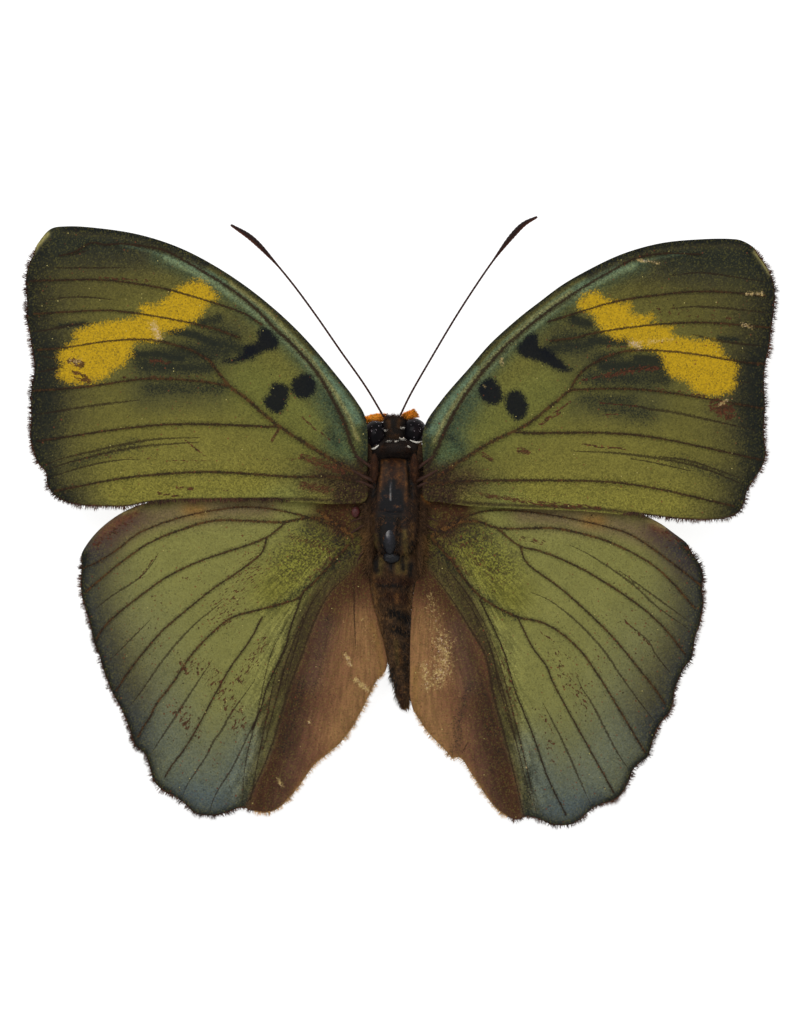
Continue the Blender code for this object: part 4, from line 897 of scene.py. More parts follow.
def scale_specks(s, colour, tone):
    """Single dark and rusty specks strewn over the whole wing, and pale specks that are painted glints of
    single scales.
    """
    spread, kind, _ = s.dice(SPECKS_PER_MM)
    near = s.ramp(s.shift(s.cells(SPECKS_PER_MM), tone, 0.06), 0.05, 0.13, 0.85, 0.0)
    # Painted glints: pale specks where single scales would catch the light.
    pale = s.math("MULTIPLY", near, s.math("GREATER_THAN", spread, GLINT_ABOVE))
    often = s.math("ADD", kind, s.math("MULTIPLY", s.value("grit"), DARK_WITH_GRIT))
    dark = s.math("MULTIPLY", near, s.math("GREATER_THAN", often, DARK_ABOVE))
    colour = s.mix(dark, colour, "vein")
    colour = s.mix(pale, colour, "straw")
    dots, strength, _ = s.dice(RUST_DOTS_PER_MM)
    near = s.ramp(s.cells(RUST_DOTS_PER_MM), 0.14, 0.3, 0.9, 0.0)
    dotted = s.math("MULTIPLY", near, s.math("GREATER_THAN", dots, RUSTY_ABOVE))
    return s.mix(s.math("MULTIPLY", dotted, strength), colour, "rust")


def wing_scales(name, underside):
    """Tiny scales over the painted ground, layer by layer, with a fine rough surface."""
    s = Shader(name)
    dice = s.dice(SCALES_PER_MM)
    grain = s.noise(4.2, 3.0, 0.65)
    colour = scale_ground(s, dice, grain, underside)
    colour = scale_fields(s, colour, dice, grain)
    colour = scale_shades(s, colour, dice, grain)
    if not underside:
        colour = scale_marks(s, colour, dice, grain)
    colour = scale_veins(s, colour, dice, grain)
    colour = scale_flecks(s, colour, dice, grain)
    colour = scale_dust(s, colour, dice)
    colour = scale_specks(s, colour, dice[0])
    bump = s.math("ADD", dice[0], grain)
    return s.finish(colour, s.ramp(grain, 0.3, 0.7, 0.65, 0.85), bump, 0.3, 0.012, 0.08)


def hair_shader(name, root, tip):
    """Hair in its painted colour, darker at the root and lighter at the tip, no two hairs quite alike."""
    s = Shader(name)
    colour = s.times(s.colour("ground"), s.ramp(s.value("along"), 0.0, 1.0, root, tip))
    colour = s.times(colour, s.ramp(s.value("tone"), 0.0, 1.0, 0.55, 1.5))
    return s.finish(colour, 0.7, None, specular=0.2)


def add_hairs(name, roots, directions, lengths, widths, bends, colours, material):
    """Thin three-sided hairs that taper and bend, closed at the root."""
    roots = np.asarray(roots, float)
    count = len(roots)
    directions = np.asarray(directions, float)
    directions = directions / np.linalg.norm(directions, axis=1)[:, None]
    helper = np.where(np.abs(directions[:, 2:]) > 0.9, [[1.0, 0.0, 0.0]], [[0.0, 0.0, 1.0]])
    side = np.cross(directions, helper)
    side /= np.linalg.norm(side, axis=1)[:, None]
    other = np.cross(directions, side)
    points = []
    for share, thick in ((0.0, 1.0), (HAIR_KNEE, HAIR_KNEE_WIDTH)):
        centre = roots + directions * (lengths * share)[:, None] + bends * share ** 2
        for k in range(3):
            turn = 2.0 * math.pi * k / 3
            aside = side * math.cos(turn) + other * math.sin(turn)
            points.append(centre + aside * (widths * thick)[:, None])
    points.append(roots + directions * lengths[:, None] + bends)
    for layer in points:
        layer[:, 2] = layer[:, 2].clip(0.0, HAIR_TOP)
    points = np.stack(points, axis=1).reshape(-1, 3)
    pattern = [(0, 2, 1)]
    for k in range(3):
        following = (k + 1) % 3
        pattern += [(k, following, 3 + following, 3 + k), (3 + k, 3 + following, 6)]
    faces = [[7 * i + corner for corner in corners] for i in range(count) for corners in pattern]
    along = np.tile([0.0] * 3 + [HAIR_KNEE] * 3 + [1.0], count)
    tone = np.repeat(np.random.default_rng(count).random(count), 7)
    values = {"along": along, "tone": tone, "ground": np.repeat(colours, 7, axis=0)}
    hairs = add_piece(name, points, faces, [material], None, values)
    return hairs


def add_tuft(name, roots, directions, lengths, widths, colours, material):
    """Straight hairs with the colours of the strokes under their roots."""
    roots = np.asarray(roots)
    count = len(roots)
    lengths = np.broadcast_to(lengths, count)
    widths = np.broadcast_to(widths, count)
    painted = paint(roots[:, :2], *colours)
    add_hairs(name, roots, directions, lengths, widths, np.zeros((count, 3)), painted, material)


def wing_sheet(edge, lines, step):
    """A triangle mesh inside the edge, with points along the lines: places, faces and the edge's indices."""
    points = [tuple(p) for p in edge]
    count = len(points)
    links = [(i, (i + 1) % count) for i in range(count)]
    for line in lines:
        previous = None
        for place in line:
            points.append(tuple(place))
            if previous is not None:
                links.append((previous, len(points) - 1))
            previous = len(points) - 1
    fixed = np.array(points)
    low, high = edge.min(axis=0), edge.max(axis=0)
    row_height = step * math.sqrt(3) / 2
    rows, columns = np.mgrid[0:int((high[1] - low[1]) / row_height) + 1, 0:int((high[0] - low[0]) / step) + 1]
    grid = np.column_stack([
        (low[0] + columns * step + (rows % 2) * step / 2).ravel(),
        (low[1] + rows * row_height).ravel(),
    ])
    grid = grid[is_inside(grid, edge)]
    grid = grid[nearest_distance(grid, fixed) > LINE_GAP]
    points += [tuple(p) for p in grid]
    made = delaunay_2d_cdt([Vector(p) for p in points], links, [list(range(count))], 1, 1e-5)
    places, faces, sources = made[0], made[2], made[3]
    found = {}
    for new, olds in enumerate(sources):
        for old in olds:
            found[old] = new
    used = sorted({corner for face in faces for corner in face})
    renumbered = {old: new for new, old in enumerate(used)}
    kept = np.array([tuple(places[i]) for i in used])
    faces = np.array([[renumbered[corner] for corner in face] for face in faces])
    return kept, faces, [renumbered[found[i]] for i in range(count)]


def nearest_distance(places, others):
    """The distance from each place to the nearest of the others, worked out in square bins."""
    size = 0.5
    bins = {}
    for index, key in enumerate(map(tuple, np.floor(others / size).astype(int))):
        bins.setdefault(key, []).append(index)
    nearest = np.full(len(places), size)
    groups = {}
    for index, key in enumerate(map(tuple, np.floor(places / size).astype(int))):
        groups.setdefault(key, []).append(index)
    for (i, j), members in groups.items():
        near = []
        for di in (-1, 0, 1):
            for dj in (-1, 0, 1):
                near += bins.get((i + di, j + dj), [])
        if near:
            gaps = np.linalg.norm(places[members][:, None, :] - others[near][None, :, :], axis=2)
            nearest[members] = gaps.min(axis=1)
    return nearest


def runs_inside(line, edge, margin):
    """The parts of a line that lie inside the edge by more than the margin."""
    ring = np.vstack([edge, edge[:1]])
    keep = is_inside(line, edge) & (line_distance(line, ring)[0] > margin)
    runs, current = [], []
    for place, good in zip(line, keep):
        if good:
            current.append(place)
        elif current:
            runs.append(current)
            current = []
    if current:
        runs.append(current)
    return [np.array(run) for run in runs if len(run) > 1]


def edge_part(wing, name, inset, start=0.0, end=1.0):
    """A stretch of the front edge, the margin or the edge beside the body, moved inwards."""
    outline = np.array(wing["outline"])
    margin_end = wing["fringe"][1]
    first, last = {
        "costa": wing["costa"],
        "outer": wing["outer"],
        "rear": wing.get("rear"),
        "inner": (margin_end - INNER_BEFORE, margin_end + INNER_AFTER),
    }[name]
    moved = outline - normals_of(outline) * inset
    line = smooth_line(moved[first:last + 1], PART_STEP)
    return line[round(start * (len(line) - 1)):round(end * (len(line) - 1)) + 1]


def paint(places, base, strokes):
    """The colour that soft strokes leave over a base colour at each place."""
    colour = np.tile(palette(base), (len(places), 1))
    for name, strength, width, line in strokes:
        gap = line_distance(places, np.array(line, float))[0]
        share = np.minimum(strength * np.exp(-((gap / width) ** 2)), 1.0)
        colour += (palette(name) - colour) * share[:, None]
    return linear(colour)


def wing_strokes(wing, strokes, mirror):
    """A wing's strokes with their points. The right wings take the left ones', mirrored and turned."""
    turn = math.radians(GROUND_TURN)
    turned = np.array([[math.cos(turn), -math.sin(turn)], [math.sin(turn), math.cos(turn)]])
    placed = []
    for name, strength, width, line in strokes:
        if isinstance(line, tuple):
            line = edge_part(wing, *line)
        elif mirror:
            line = (np.array(line) * (-1.0, 1.0)) @ turned
        placed.append((name, strength, width, line))
    return placed


def line_field(places, lines, swell=False):
    """For each place, the least distance to a line in that line's own half widths, and that line's index.

    A line goes from its start width to its end width or, where it swells, to its end width in the middle.
    """
    best = np.full(len(places), FAR)
    which = np.full(len(places), -1)
    for index, (start, end, line) in enumerate(lines):
        gap, along = line_distance(places, line)
        if swell:
            along = np.sin(math.pi * along)
        gap = gap / (start + (end - start) * along)
        nearer = gap < best
        best[nearer] = gap[nearer]
        which[nearer] = index
    return best, which


def nearest_index(line, place):
    return np.argmin(np.hypot(*(line - place).T))


def wing_edge(wing):
    """The smooth outline, its normals, how much fringe each point bears, and the membrane's own edge."""
    outline = smooth_line(wing["outline"], EDGE_STEP, closed=True)
    outward = normals_of(outline)
    first, last = [nearest_index(outline, wing["outline"][i]) for i in wing["fringe"]]
    index = np.arange(len(outline))
    fade = FRINGE_FADE / EDGE_STEP
    fringed = np.clip((index - first) / fade, 0, 1) * np.clip((last - index) / fade, 0, 1)
    edge = outline - outward * (fringed * FRINGE_REACH)[:, None]
    if "tuck" in wing:
        start = nearest_index(outline, wing["outline"][wing["tuck"]])
        share = np.clip((index - start) / (len(outline) - start), 0.0, 1.0)
        reach = np.clip(share * TUCK_RAMP, 0.0, 1.0) * (TUCK_FIRST + TUCK_MORE * share)
        edge += outward * reach[:, None]
    return outline, outward, fringed, edge


def wing_looks(wing, places, border, base, strokes, mirror):
    """The values that the scales' material reads at each place of a wing, but for its veins and folds."""
    root = np.array(wing["outline"][0])
    angle = np.arctan2(places[:, 1] - root[1], places[:, 0] - root[0])
    reach = np.hypot(*(places - root).T)
    ground = paint(places, base, wing_strokes(wing, strokes, mirror))
    grit = GRIT + GRIT_AT_EDGE * np.exp(-((border / GRIT_REACH) ** 2))
    grit *= 1.0 - SMOOTH_TIP * brush(places, [(1.0, SMOOTH_REACH, [wing["outline"][wing["costa"][1]]])])
    values = {key: brush(places, wing[key]) for key in ("dusk", "fleck", "bare", "silk")}
    values["speckle"] = np.zeros(len(places))
    if "anal" in wing:
        side = -1.0 if mirror else 1.0
        inside = np.clip(shape_distance(places, [wing["anal"]]) / ANAL_BLEND + 0.5, 0.0, 1.0)
        brown = paint(places, "anal brown", wing_strokes(wing, ANAL_GROUND, mirror))
        ground += (brown - ground) * inside[:, None]
        speckled = brush(places, [(*SPECKLED_STROKE, [(side * x, y) for x, y in SPECKLED_BASE])])
        rusty = brush(places, [(*RUSTY_STROKE, [(side * x, y) for x, y in RUSTY_ROOT])])
        values["speckle"] = speckled * (1.0 - inside) * (1.0 - rusty)
        grit = (grit * HINDWING_GRIT + SPECKLE_GRIT * values["speckle"]) * (1.0 - ANAL_SMOOTH * inside)
        silky = ANAL_SILK * inside
        values["silk"] = np.where(silky > ANAL_SILK / 2, silky, values["silk"])
    values["ground"] = ground
    values["grit"] = grit
    values["flow"] = np.column_stack([angle * FLOW_ACROSS, reach * FLOW_ALONG, np.zeros(len(places))])
    values["yellow"] = shape_distance(places, wing["yellow"])
    values["black"] = shape_distance(places, wing["black"])
    return values


def add_wing(node, wing, base, strokes, drop, dip, materials, slot):
    """One wing: a thin closed sheet with raised veins and pressed folds, and bristles along its margin."""
    outline, outward, fringed, edge = wing_edge(wing)
    veins = [(start, end, smooth_line(line, LINE_STEP)) for start, end, _, line in wing["veins"]]
    folds = [(half * FOLD_START, half, smooth_line(line, LINE_STEP)) for half, line in wing["folds"]]
    lines = []
    for _, _, line in veins + folds:
        lines += runs_inside(line, edge, LINE_MARGIN)
    top, top_faces, top_edge = wing_sheet(edge, lines, SHEET_STEP)
    under, under_faces, under_edge = wing_sheet(edge, lines, UNDER_STEP)

    places = np.vstack([top, under])
    side = np.concatenate([np.ones(len(top)), -np.ones(len(under))])
    vein, which = line_field(places, veins)
    fold = line_field(places, folds, True)[0]
    rust = np.array([line[2] for line in wing["veins"]] + [0.0])[which]
    border = line_distance(places, np.vstack([edge, edge[:1]]))[0]
    inner = np.clip(border / THIN_WITHIN, THINNEST, 1.0)
    thick = inner * (SHEET_HALF + VEIN_RISE * np.exp(-((vein / VEIN_SPREAD) ** 2)))
    middle = wing_height(places[:, 0], places[:, 1], drop, dip) + ripple(places[:, 0], places[:, 1])
    middle -= inner * FOLD_DEPTH * np.exp(-((fold / FOLD_SPREAD) ** 2))
    points = np.column_stack([places, middle + side * thick])

    values = wing_looks(wing, places, border, base, strokes, node.endswith("right"))
    values.update({"vein": vein, "fold": fold, "rust": rust})
    shift = len(top)
    faces = top_faces.tolist() + (under_faces[:, ::-1] + shift).tolist()
    count = len(top_edge)
    for i in range(count):
        j = (i + 1) % count
        faces.append([top_edge[i], under_edge[i] + shift, under_edge[j] + shift, top_edge[j]])
    kinds = [0] * len(top_faces) + [1] * (len(under_faces) + count)
    thing = add_piece(node + "_membrane", points, faces, materials[:2], kinds, values, count)
    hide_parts(node)
    last_dark = wing["outline"][wing["outer"][1] if "anal" in wing else -1]
    pale_from = nearest_index(outline, last_dark)
    add_fringe(node, edge, outward, fringed, pale_from, drop, dip, materials[2])


def add_fringe(node, edge, outward, fringed, pale_from, drop, dip, material):
    """Bristles that stand out from a wing's margin in ragged tufts with small gaps, pale past one point."""
    rng = np.random.default_rng(SEED + len(edge))
    step = np.linalg.norm(np.roll(edge, -1, axis=0) - edge, axis=1)
    number = rng.poisson(step * FRINGE_PER_MM * (fringed > FRINGED_FROM))
    at = np.repeat(np.arange(len(edge)), number)
    count = len(at)
    share = rng.random(count)[:, None]
    following = (at + 1) % len(edge)
    base = edge[at] * (1 - share) + edge[following] * share
    beside = np.column_stack([-outward[at, 1], outward[at, 0]])
    out = outward[at] + rng.normal(0.0, FRINGE_LEAN, (count, 1)) * beside
    out /= np.linalg.norm(out, axis=1)[:, None]
    tuft = 0.75 + 0.35 * np.sin(at * 0.9 + 1.7 * np.sin(at * 0.31)) * np.sin(at * 0.23)
    ragged = np.clip(tuft + rng.normal(0.0, 0.2, count), 0.25, 1.35)
    lengths = (FRINGE_LEAST + FRINGE_REACH * fringed[at] * FRINGE_MORE) * ragged
    lengths += FRINGE_ROOTED
    base = base - outward[at] * FRINGE_ROOTED
    height = wing_height(base[:, 0], base[:, 1], drop, dip) + ripple(base[:, 0], base[:, 1])
    height = height + rng.uniform(-0.02, 0.02, count)
    roots = np.column_stack([base, height])
    directions = np.column_stack([out, rng.normal(0.0, 0.1, count)])
    widths = rng.uniform(*FRINGE_WIDTHS, count) * np.where(at > pale_from, PALE_THINNER, 1.0)
    bends = rng.normal(0.0, 0.05, (count, 3)) * (1.0, 1.0, 0.4)
    brown = np.clip(0.4 + 0.35 * np.sin(at * 0.13) + rng.normal(0.0, 0.35, count), 0.0, 1.0)[:, None]
    colours = linear(palette("fringe dark")) * (1.0 - brown) + linear(palette("fringe brown")) * brown
    pale = (at > pale_from)[:, None] * np.clip(0.75 + rng.normal(0.0, 0.2, (count, 1)), 0.0, 1.0)
    colours = colours * (1.0 - pale) + linear(palette("fringe pale")) * pale
    add_hairs(node + "_fringe", roots, directions, lengths, widths, bends, colours, material)


def add_wings():
    materials = [wing_scales("wing scales", False), wing_scales("wing underside", True)]
    materials.append(hair_shader("fringe", 0.7, 1.5))
    for side, wing in (("left", LEFT_FOREWING), ("right", RIGHT_FOREWING)):
        look = ("olive", FOREWING_GROUND, 0.0, 0.0, materials, "forewing scales")
        add_wing("forewing_" + side, wing, *look)
    for side, wing in (("left", LEFT_HINDWING), ("right", RIGHT_HINDWING)):
        look = ("hind olive", HINDWING_GROUND, HINDWING_DROP, HINDWING_DIP, materials, "hindwing scales")
        add_wing("hindwing_" + side, wing, *look)


# The body, front to back. A form is (centre, half size, power), and a route is points of x, y, z and radius.
# A box is its spans in x, y and z.
HEAD = ((-0.05, 5.85, 3.2), (1.3, 1.6, 1.62), 2.3)
EYES = {
    "left": ((-1.95, 5.5, 3.4), (1.34, 1.5, 1.5), 2.0),
    "right": ((1.9, 5.8, 3.4), (1.34, 1.42, 1.5), 2.0),
}
EYE_RIMS = {
    "left": [(-2.35, 4.12), (-2.0, 4.2), (-1.62, 4.5)],
    "right": [(1.5, 5.0), (2.2, 4.78), (2.9, 4.98)],
}
EYE_RIM_ENDS = 0.03
EYE_RIM_MIDDLE = 0.08
EYE_REAR = 3.9
EYE_INNER = 1.3
EYE_GRAINS = 90
HEAD_TUFT = ((-0.95, 0.5), (7.0, 7.35), (3.2, 4.1))
HEAD_TUFT_HAIRS = 260
SPECK_HAIRS = 22
SPECK_SPREAD = (0.09, 0.05)
COLLAR = ((0.05, 4.15, 3.85), (1.7, 0.72, 1.65), 2.4)
THORAX = ((0.0, -1.75, 2.9), (2.7, 5.15, 3.3), 3.0)
RELIEF_ABOVE = 4.6
# Where the thorax is bald: a plate, by its middle, half width and rear, and an oval shield.
BARE_PLATE = (-0.2, 1.6, -2.6)
BARE_SHIELD = ((-0.65, -4.4), (0.85, 1.95))
SCUTELLUM = ((-0.5, -4.35, 5.2), (1.0, 2.15, 0.95), 1.85)
BEAD = ((-3.95, -2.2, 4.4), (0.45, 0.58, 0.36), 2.0)
POSTNOTUM = ((-0.35, -6.75, 4.9), (0.85, 0.6, 0.5), 2.0)
NECK = ((0.0, 4.2, 3.3), (2.75, 1.5, 1.6), 2.2)
WAIST = ((-0.05, -7.7, 3.0), (2.85, 2.3, 1.75), 2.4)
TEGULAE = {
    "left": ((-2.05, 2.2, 5.65), (0.36, 1.45, 0.36), 2.0),
    "right": ((1.95, 2.2, 5.65), (0.36, 1.45, 0.36), 2.0),
}
ROOT_PADS = {
    "left": ((-2.55, -1.9, 4.0), (0.75, 6.6, 0.95), 2.0),
    "right": ((2.55, -1.9, 4.0), (0.75, 6.6, 0.95), 2.0),
}
# Dark ridges that the wing veins grow from, on the left side: points of x, y, z and radius.
ROOT_RIDGES = [
    [(-1.9, 1.9, 5.2, 0.2), (-2.8, 2.6, 5.2, 0.17), (-3.9, 3.4, 5.22, 0.1)],
    [(-2, 0.9, 5.2, 0.24), (-3, 1.3, 5.2, 0.2), (-4.3, 2, 5.2, 0.1)],
    [(-2, 0.2, 5.1, 0.2), (-3.2, 0.75, 5.15, 0.15), (-4.4, 1.02, 5.15, 0.08)],
    [(-2.2, -2.3, 4.5, 0.22), (-3.2, -2.7, 4.35, 0.16), (-4.5, -3.2, 4.22, 0.08)],
    [(-2.2, -3, 4.5, 0.22), (-3.4, -3.7, 4.35, 0.16), (-4.9, -4.6, 4.2, 0.08)],
    [(-2.3, -4.6, 4.4, 0.2), (-3.1, -6, 4.15, 0.16), (-4.3, -7.9, 3.95, 0.07)],
]

# The antennae, with clubs, and the joints that pinch them.
ANTENNAE = {
    "left": [
        (-1.1, 7.3, 3.9), (-2.9, 10.3, 4.3), (-5.5, 14, 4.7), (-8, 17.6, 5), (-10.3, 20.7, 5.2),
        (-12.4, 23.2, 5.35), (-14.4, 25.2, 5.45), (-16.4, 26.5, 5.5),
    ],
    "right": [
        (0.5, 7.45, 3.9), (1.5, 9.5, 4.2), (3.5, 13, 4.6), (6.5, 18, 5), (9.5, 22.5, 5.25),
        (11.7, 25.4, 5.4), (12.9, 26.6, 5.45), (14.2, 27.3, 5.5),
    ],
}
SHAFT_RADIUS = 0.105
SHAFT_SIDES = 14
CLUB_RADIUS = 0.3
CLUB_LENGTH = 6.4
CLUB_END = 0.97
CLUB_FULLNESS = 1.1
CLUB_LEAN = 1.25
CLUB_DARK = 0.55
JOINT_LENGTH = 0.42
JOINT_PINCH = 0.14

# The palps, the right one's torn square tuft and the left one's loose hairs. Then the coiled proboscis.
PALPS = {
    "left": [
        (-0.9, 7.35, 2.2, 0.28), (-1.7, 7.3, 2.5, 0.36), (-2.5, 7.15, 2.7, 0.3), (-3.3, 6.95, 2.7, 0.1),
    ],
    "right": [(0.75, 7.3, 2.4, 0.24), (1.2, 7.5, 2.6, 0.3), (1.7, 7.6, 2.75, 0.3), (2.2, 7.6, 2.8, 0.1)],
}
PALP_SWEEPS = {"left": (-0.8, -0.05, 0.1), "right": (0.5, 0.1, 0.1)}
LOOSE_PALP_BOX = ((-3.4, -2.7), (6.8, 7.1), (2.5, 2.9))
LOOSE_PALP_HAIRS = 60
FLAG_ROOT = np.array([1.0, 7.5, 2.7])
FLAG_TIP = np.array([1.95, 8.25, 3.0])
FLAG_CORNER = np.array([2.5, 7.3, 2.9])
FLAG_HAIRS = 420
COIL_CENTRE = (0.0, 6.25, 0.92)
COIL_RADII = (0.3, 0.76)
COIL_TURNS = 1.9
COIL_TUBE = 0.1
COIL_STEPS = 120

# The left legs and the abdomen.
LEGS = {
    "foreleg": [
        (-0.75, 3.9, 1.35, 0.22), (-1, 4.9, 0.9, 0.22), (-1.2, 5.5, 0.7, 0.2), (-1.45, 4.6, 0.5, 0.17),
        (-1.6, 3.7, 0.4, 0.08),
    ],
    "midleg": [
        (-2.65, 0.6, 0.95, 0.36), (-3.05, 2.4, 0.75, 0.34), (-3.5, 4.3, 0.6, 0.26), (-4.2, 2.4, 0.45, 0.22),
        (-4.7, 0.2, 0.35, 0.2), (-4.9, -2.4, 0.2, 0.09),
    ],
    "hindleg": [
        (-2.8, -2.8, 0.95, 0.36), (-3.75, -4, 0.75, 0.36), (-4.7, -5.3, 0.6, 0.28),
        (-4.2, -7.4, 0.45, 0.23), (-3.6, -9.6, 0.35, 0.2), (-3.1, -12.6, 0.2, 0.09),
    ],
}
LEG_STEP = 0.14
LEG_JOINT = 1.1
ABDOMEN = [
    (-0.1, -6.6, 2.75, 1.6), (-0.25, -8.2, 2.5, 2.3), (-0.3, -9.6, 2.42, 2.4), (-0.25, -11.2, 2.25, 2.15),
    (-0.15, -12.8, 2.05, 1.9), (0.1, -14.6, 1.9, 1.64), (0.35, -16.4, 1.75, 1.38),
    (0.55, -18.2, 1.65, 1.14), (0.75, -19.9, 1.55, 0.9), (0.9, -21.3, 1.5, 0.64), (1, -22, 1.5, 0.38),
]
RING_LENGTH = 1.86
RING_DEPTH = 0.14

# Combed hair: how far it stands out, strays and bends, how deep it is rooted, and its gilt share.
HAIR_STAND = 0.7
HAIR_STRAY = 0.28
HAIR_BEND = 0.25
HAIR_SINK = 0.03
GILT_SHARE = 0.18
GILT_COVER = 0.55
GILT_BRIGHTER = 3.0
TIP_HAIRS = 240
TIP_STROKES = 2

# Soft relief on top of the thorax: height, width, points. Then the body's colours, as on the wings, with
# painted highlights on the thorax's glossy ridge and on the shield.
THORAX_RELIEF = [
    (0.1, 0.2, [(-1.3, 3.3), (-1.4, 1.2), (-1.45, -0.6)]),
    (0.1, 0.2, [(1, 3.2), (1.15, 1.2), (1.05, -0.9)]),
    (-0.3, 0.16, [(-1.6, 3.4), (-1.85, 1), (-2.15, -0.6)]),
    (-0.3, 0.16, [(1.3, 3.2), (1.5, 1), (1.6, -0.6)]), (0.12, 0.5, [(-0.4, 0.8), (-0.5, -1.6)]),
    (-0.2, 0.16, [(-1.5, -2.1), (-0.6, -2.3), (0.6, -2.3)]), (0.22, 0.55, [(-1.9, -3), (-1.8, -4.6)]),
    (0.22, 0.5, [(0.9, -3.2), (1.2, -4.8)]),
    (-0.2, 0.14, [(-1.6, -3), (-1.6, -5.6), (-0.7, -6.5), (0.3, -5.6), (0.4, -3)]),
]
HEAD_PAINT = [
    ("rim brown", 0.6, 0.26, [(-0.75, 7.1), (-0.6, 6.3)]),
    ("rim brown", 0.65, 0.26, [(0.45, 7.1), (0.35, 6.4)]),
    ("rim brown", 0.4, 0.3, [(-0.5, 5.4), (0.3, 5.3)]),
    ("body black", 0.8, 0.22, [(-0.15, 6.9), (-0.15, 5.9)]),
    ("body black", 0.7, 0.3, [(-1.1, 6.6), (-1.1, 5)]),
    ("body black", 0.7, 0.3, [(0.95, 6.6), (0.95, 5.4)]),
]
THORAX_PAINT = [
    ("plate brown", 1.3, 1.15, [(-0.15, 3.2), (-0.2, 0.8)]),
    ("hair brown", 0.8, 0.25, [(-0.9, 3), (-0.8, 1.2)]), ("rim brown", 0.6, 0.3, [(0.3, 2.6), (0.5, 0.9)]),
    ("rim brown", 0.95, 0.17, [(-1.3, 3.3), (-1.4, 1.2), (-1.45, -0.8)]),
    ("rim brown", 0.95, 0.17, [(1, 3.2), (1.15, 1.2), (1.05, -1)]),
    ("rim brown", 0.7, 0.2, [(-1.2, 3.2), (-0.1, 3.35), (0.9, 3.2)]),
    ("shell blue", 2, 0.34, [(-0.35, 0.75), (-0.45, -0.4)]),
    ("shell blue", 2.2, 0.55, [(-0.4, -0.2), (-0.45, -2.1)]),
    ("shell blue", 1.6, 0.36, [(-1.05, -0.3), (-1.15, -1.9)]),
    ("shell blue", 1.6, 0.36, [(0.35, -0.3), (0.5, -1.9)]),
    ("body black", 1.5, 0.2, [(-1.6, 3.4), (-1.85, 1), (-2.15, -0.6)]),
    ("body black", 1.5, 0.2, [(1.3, 3.2), (1.5, 1), (1.6, -0.6)]),
    # Painted highlight: a thin bright line along the glossy dark ridge.
    ("painted highlight", 0.75, 0.06, [(-0.38, 0.7), (-0.48, -1)]),
    ("shell blue", 1.8, 0.5, [(-0.45, -2), (-0.5, -3.8)]),
    ("body black", 0.9, 0.3, [(-1.6, -2.7), (1, -2.9)]),
    ("body black", 1.4, 0.3, [(-1.4, -3.2), (-1.4, -5.4), (-0.6, -6.3), (0.3, -5.4), (0.35, -3.2)]),
    ("tuft olive", 1.1, 0.34, [(0.95, -4.2), (1.15, -6.6)]),
    ("tuft olive", 0.9, 0.3, [(-1.95, -4.6), (-1.8, -6.4)]),
    ("abdomen gold", 0.8, 0.22, [(1.7, -3.4), (1.75, -5)]),
    ("abdomen gold", 0.7, 0.22, [(-2.2, -2.6), (-2.2, -4)]),
    ("body black", 1.5, 0.3, [(-2, -6.2), (-1.2, -6.7)]),
    ("body black", 1.5, 0.25, [(1.7, -5.4), (1.75, -6.4)]),
]
# Painted highlights on the shiny shield: a grey band along its ridge and a pale glint beside it.
SCUTELLUM_HIGHLIGHTS = [
    ("shell grey", 0.8, 0.3, [(-0.6, -3.4), (-0.6, -5.2)]),
    ("painted highlight", 0.9, 0.12, [(-0.72, -3.3), (-0.75, -4.6)]),
]
COLLAR_PAINT = [
    ("plate brown", 0.6, 0.4, [(-1.6, 3.6), (-1.2, 4.4)]),
    ("plate brown", 0.6, 0.4, [(1.3, 3.6), (1.5, 4.6)]),
]
ABDOMEN_PAINT = [
    ("tuft olive", 1.2, 0.3, [(0.35, -6.9), (0.3, -8.2)]),
    ("tuft olive", 1.2, 0.28, [(-1.3, -6.8), (-1.6, -8.4)]),
    ("tuft olive", 1, 0.3, [(1.1, -6.6), (1, -8.2)]),
    ("abdomen gold", 0.9, 0.25, [(-2.3, -7.4), (-2, -9.2)]),
    ("shell blue", 0.9, 0.26, [(-0.4, -6.9), (-0.4, -7.8)]),
    ("body black", 1.3, 0.24, [(0.75, -6.4), (0.8, -7.8)]),
    ("body black", 1.5, 0.24, [(1.6, -7.5), (1.5, -8.6)]),
    ("body black", 1.5, 0.3, [(-2, -6.6), (-1.9, -8)]),
    ("plate brown", 1.1, 0.5, [(-1.6, -9.2), (1.4, -9.2)]),
    ("body black", 1.2, 0.14, [(-1.6, -9.55), (1.4, -9.65)]),
    ("plate brown", 1, 0.6, [(-0.8, -10.6), (0.9, -10.9)]),
    ("abdomen gold", 1.2, 0.3, [(-2.2, -9.6), (-1.8, -12.2), (-1.3, -15), (-0.8, -17.6)]),
    ("abdomen gold", 0.8, 0.3, [(1.75, -9.8), (1.5, -12.6)]),
    ("rim brown", 0.8, 0.25, [(0.1, -10.4), (0.2, -11.4)]),
    ("body black", 1.6, 0.42, [(-0.2, -12.3), (1.2, -13)]),
    ("body black", 1.3, 0.36, [(-0.1, -13.9), (1.1, -14.4)]),
    ("tuft olive", 0.7, 0.25, [(0.1, -15.2), (0.3, -17.4)]),
    ("body black", 0.5, 0.35, [(0.9, -15.6), (1, -18.6)]),
    ("rim brown", 0.6, 0.2, [(0.5, -16), (0.6, -17.6)]),
    ("body black", 0.8, 0.3, [(-0.3, -18), (0.1, -20)]),
    ("plate brown", 0.8, 0.3, [(0.4, -20), (0.7, -21.6)]),
]
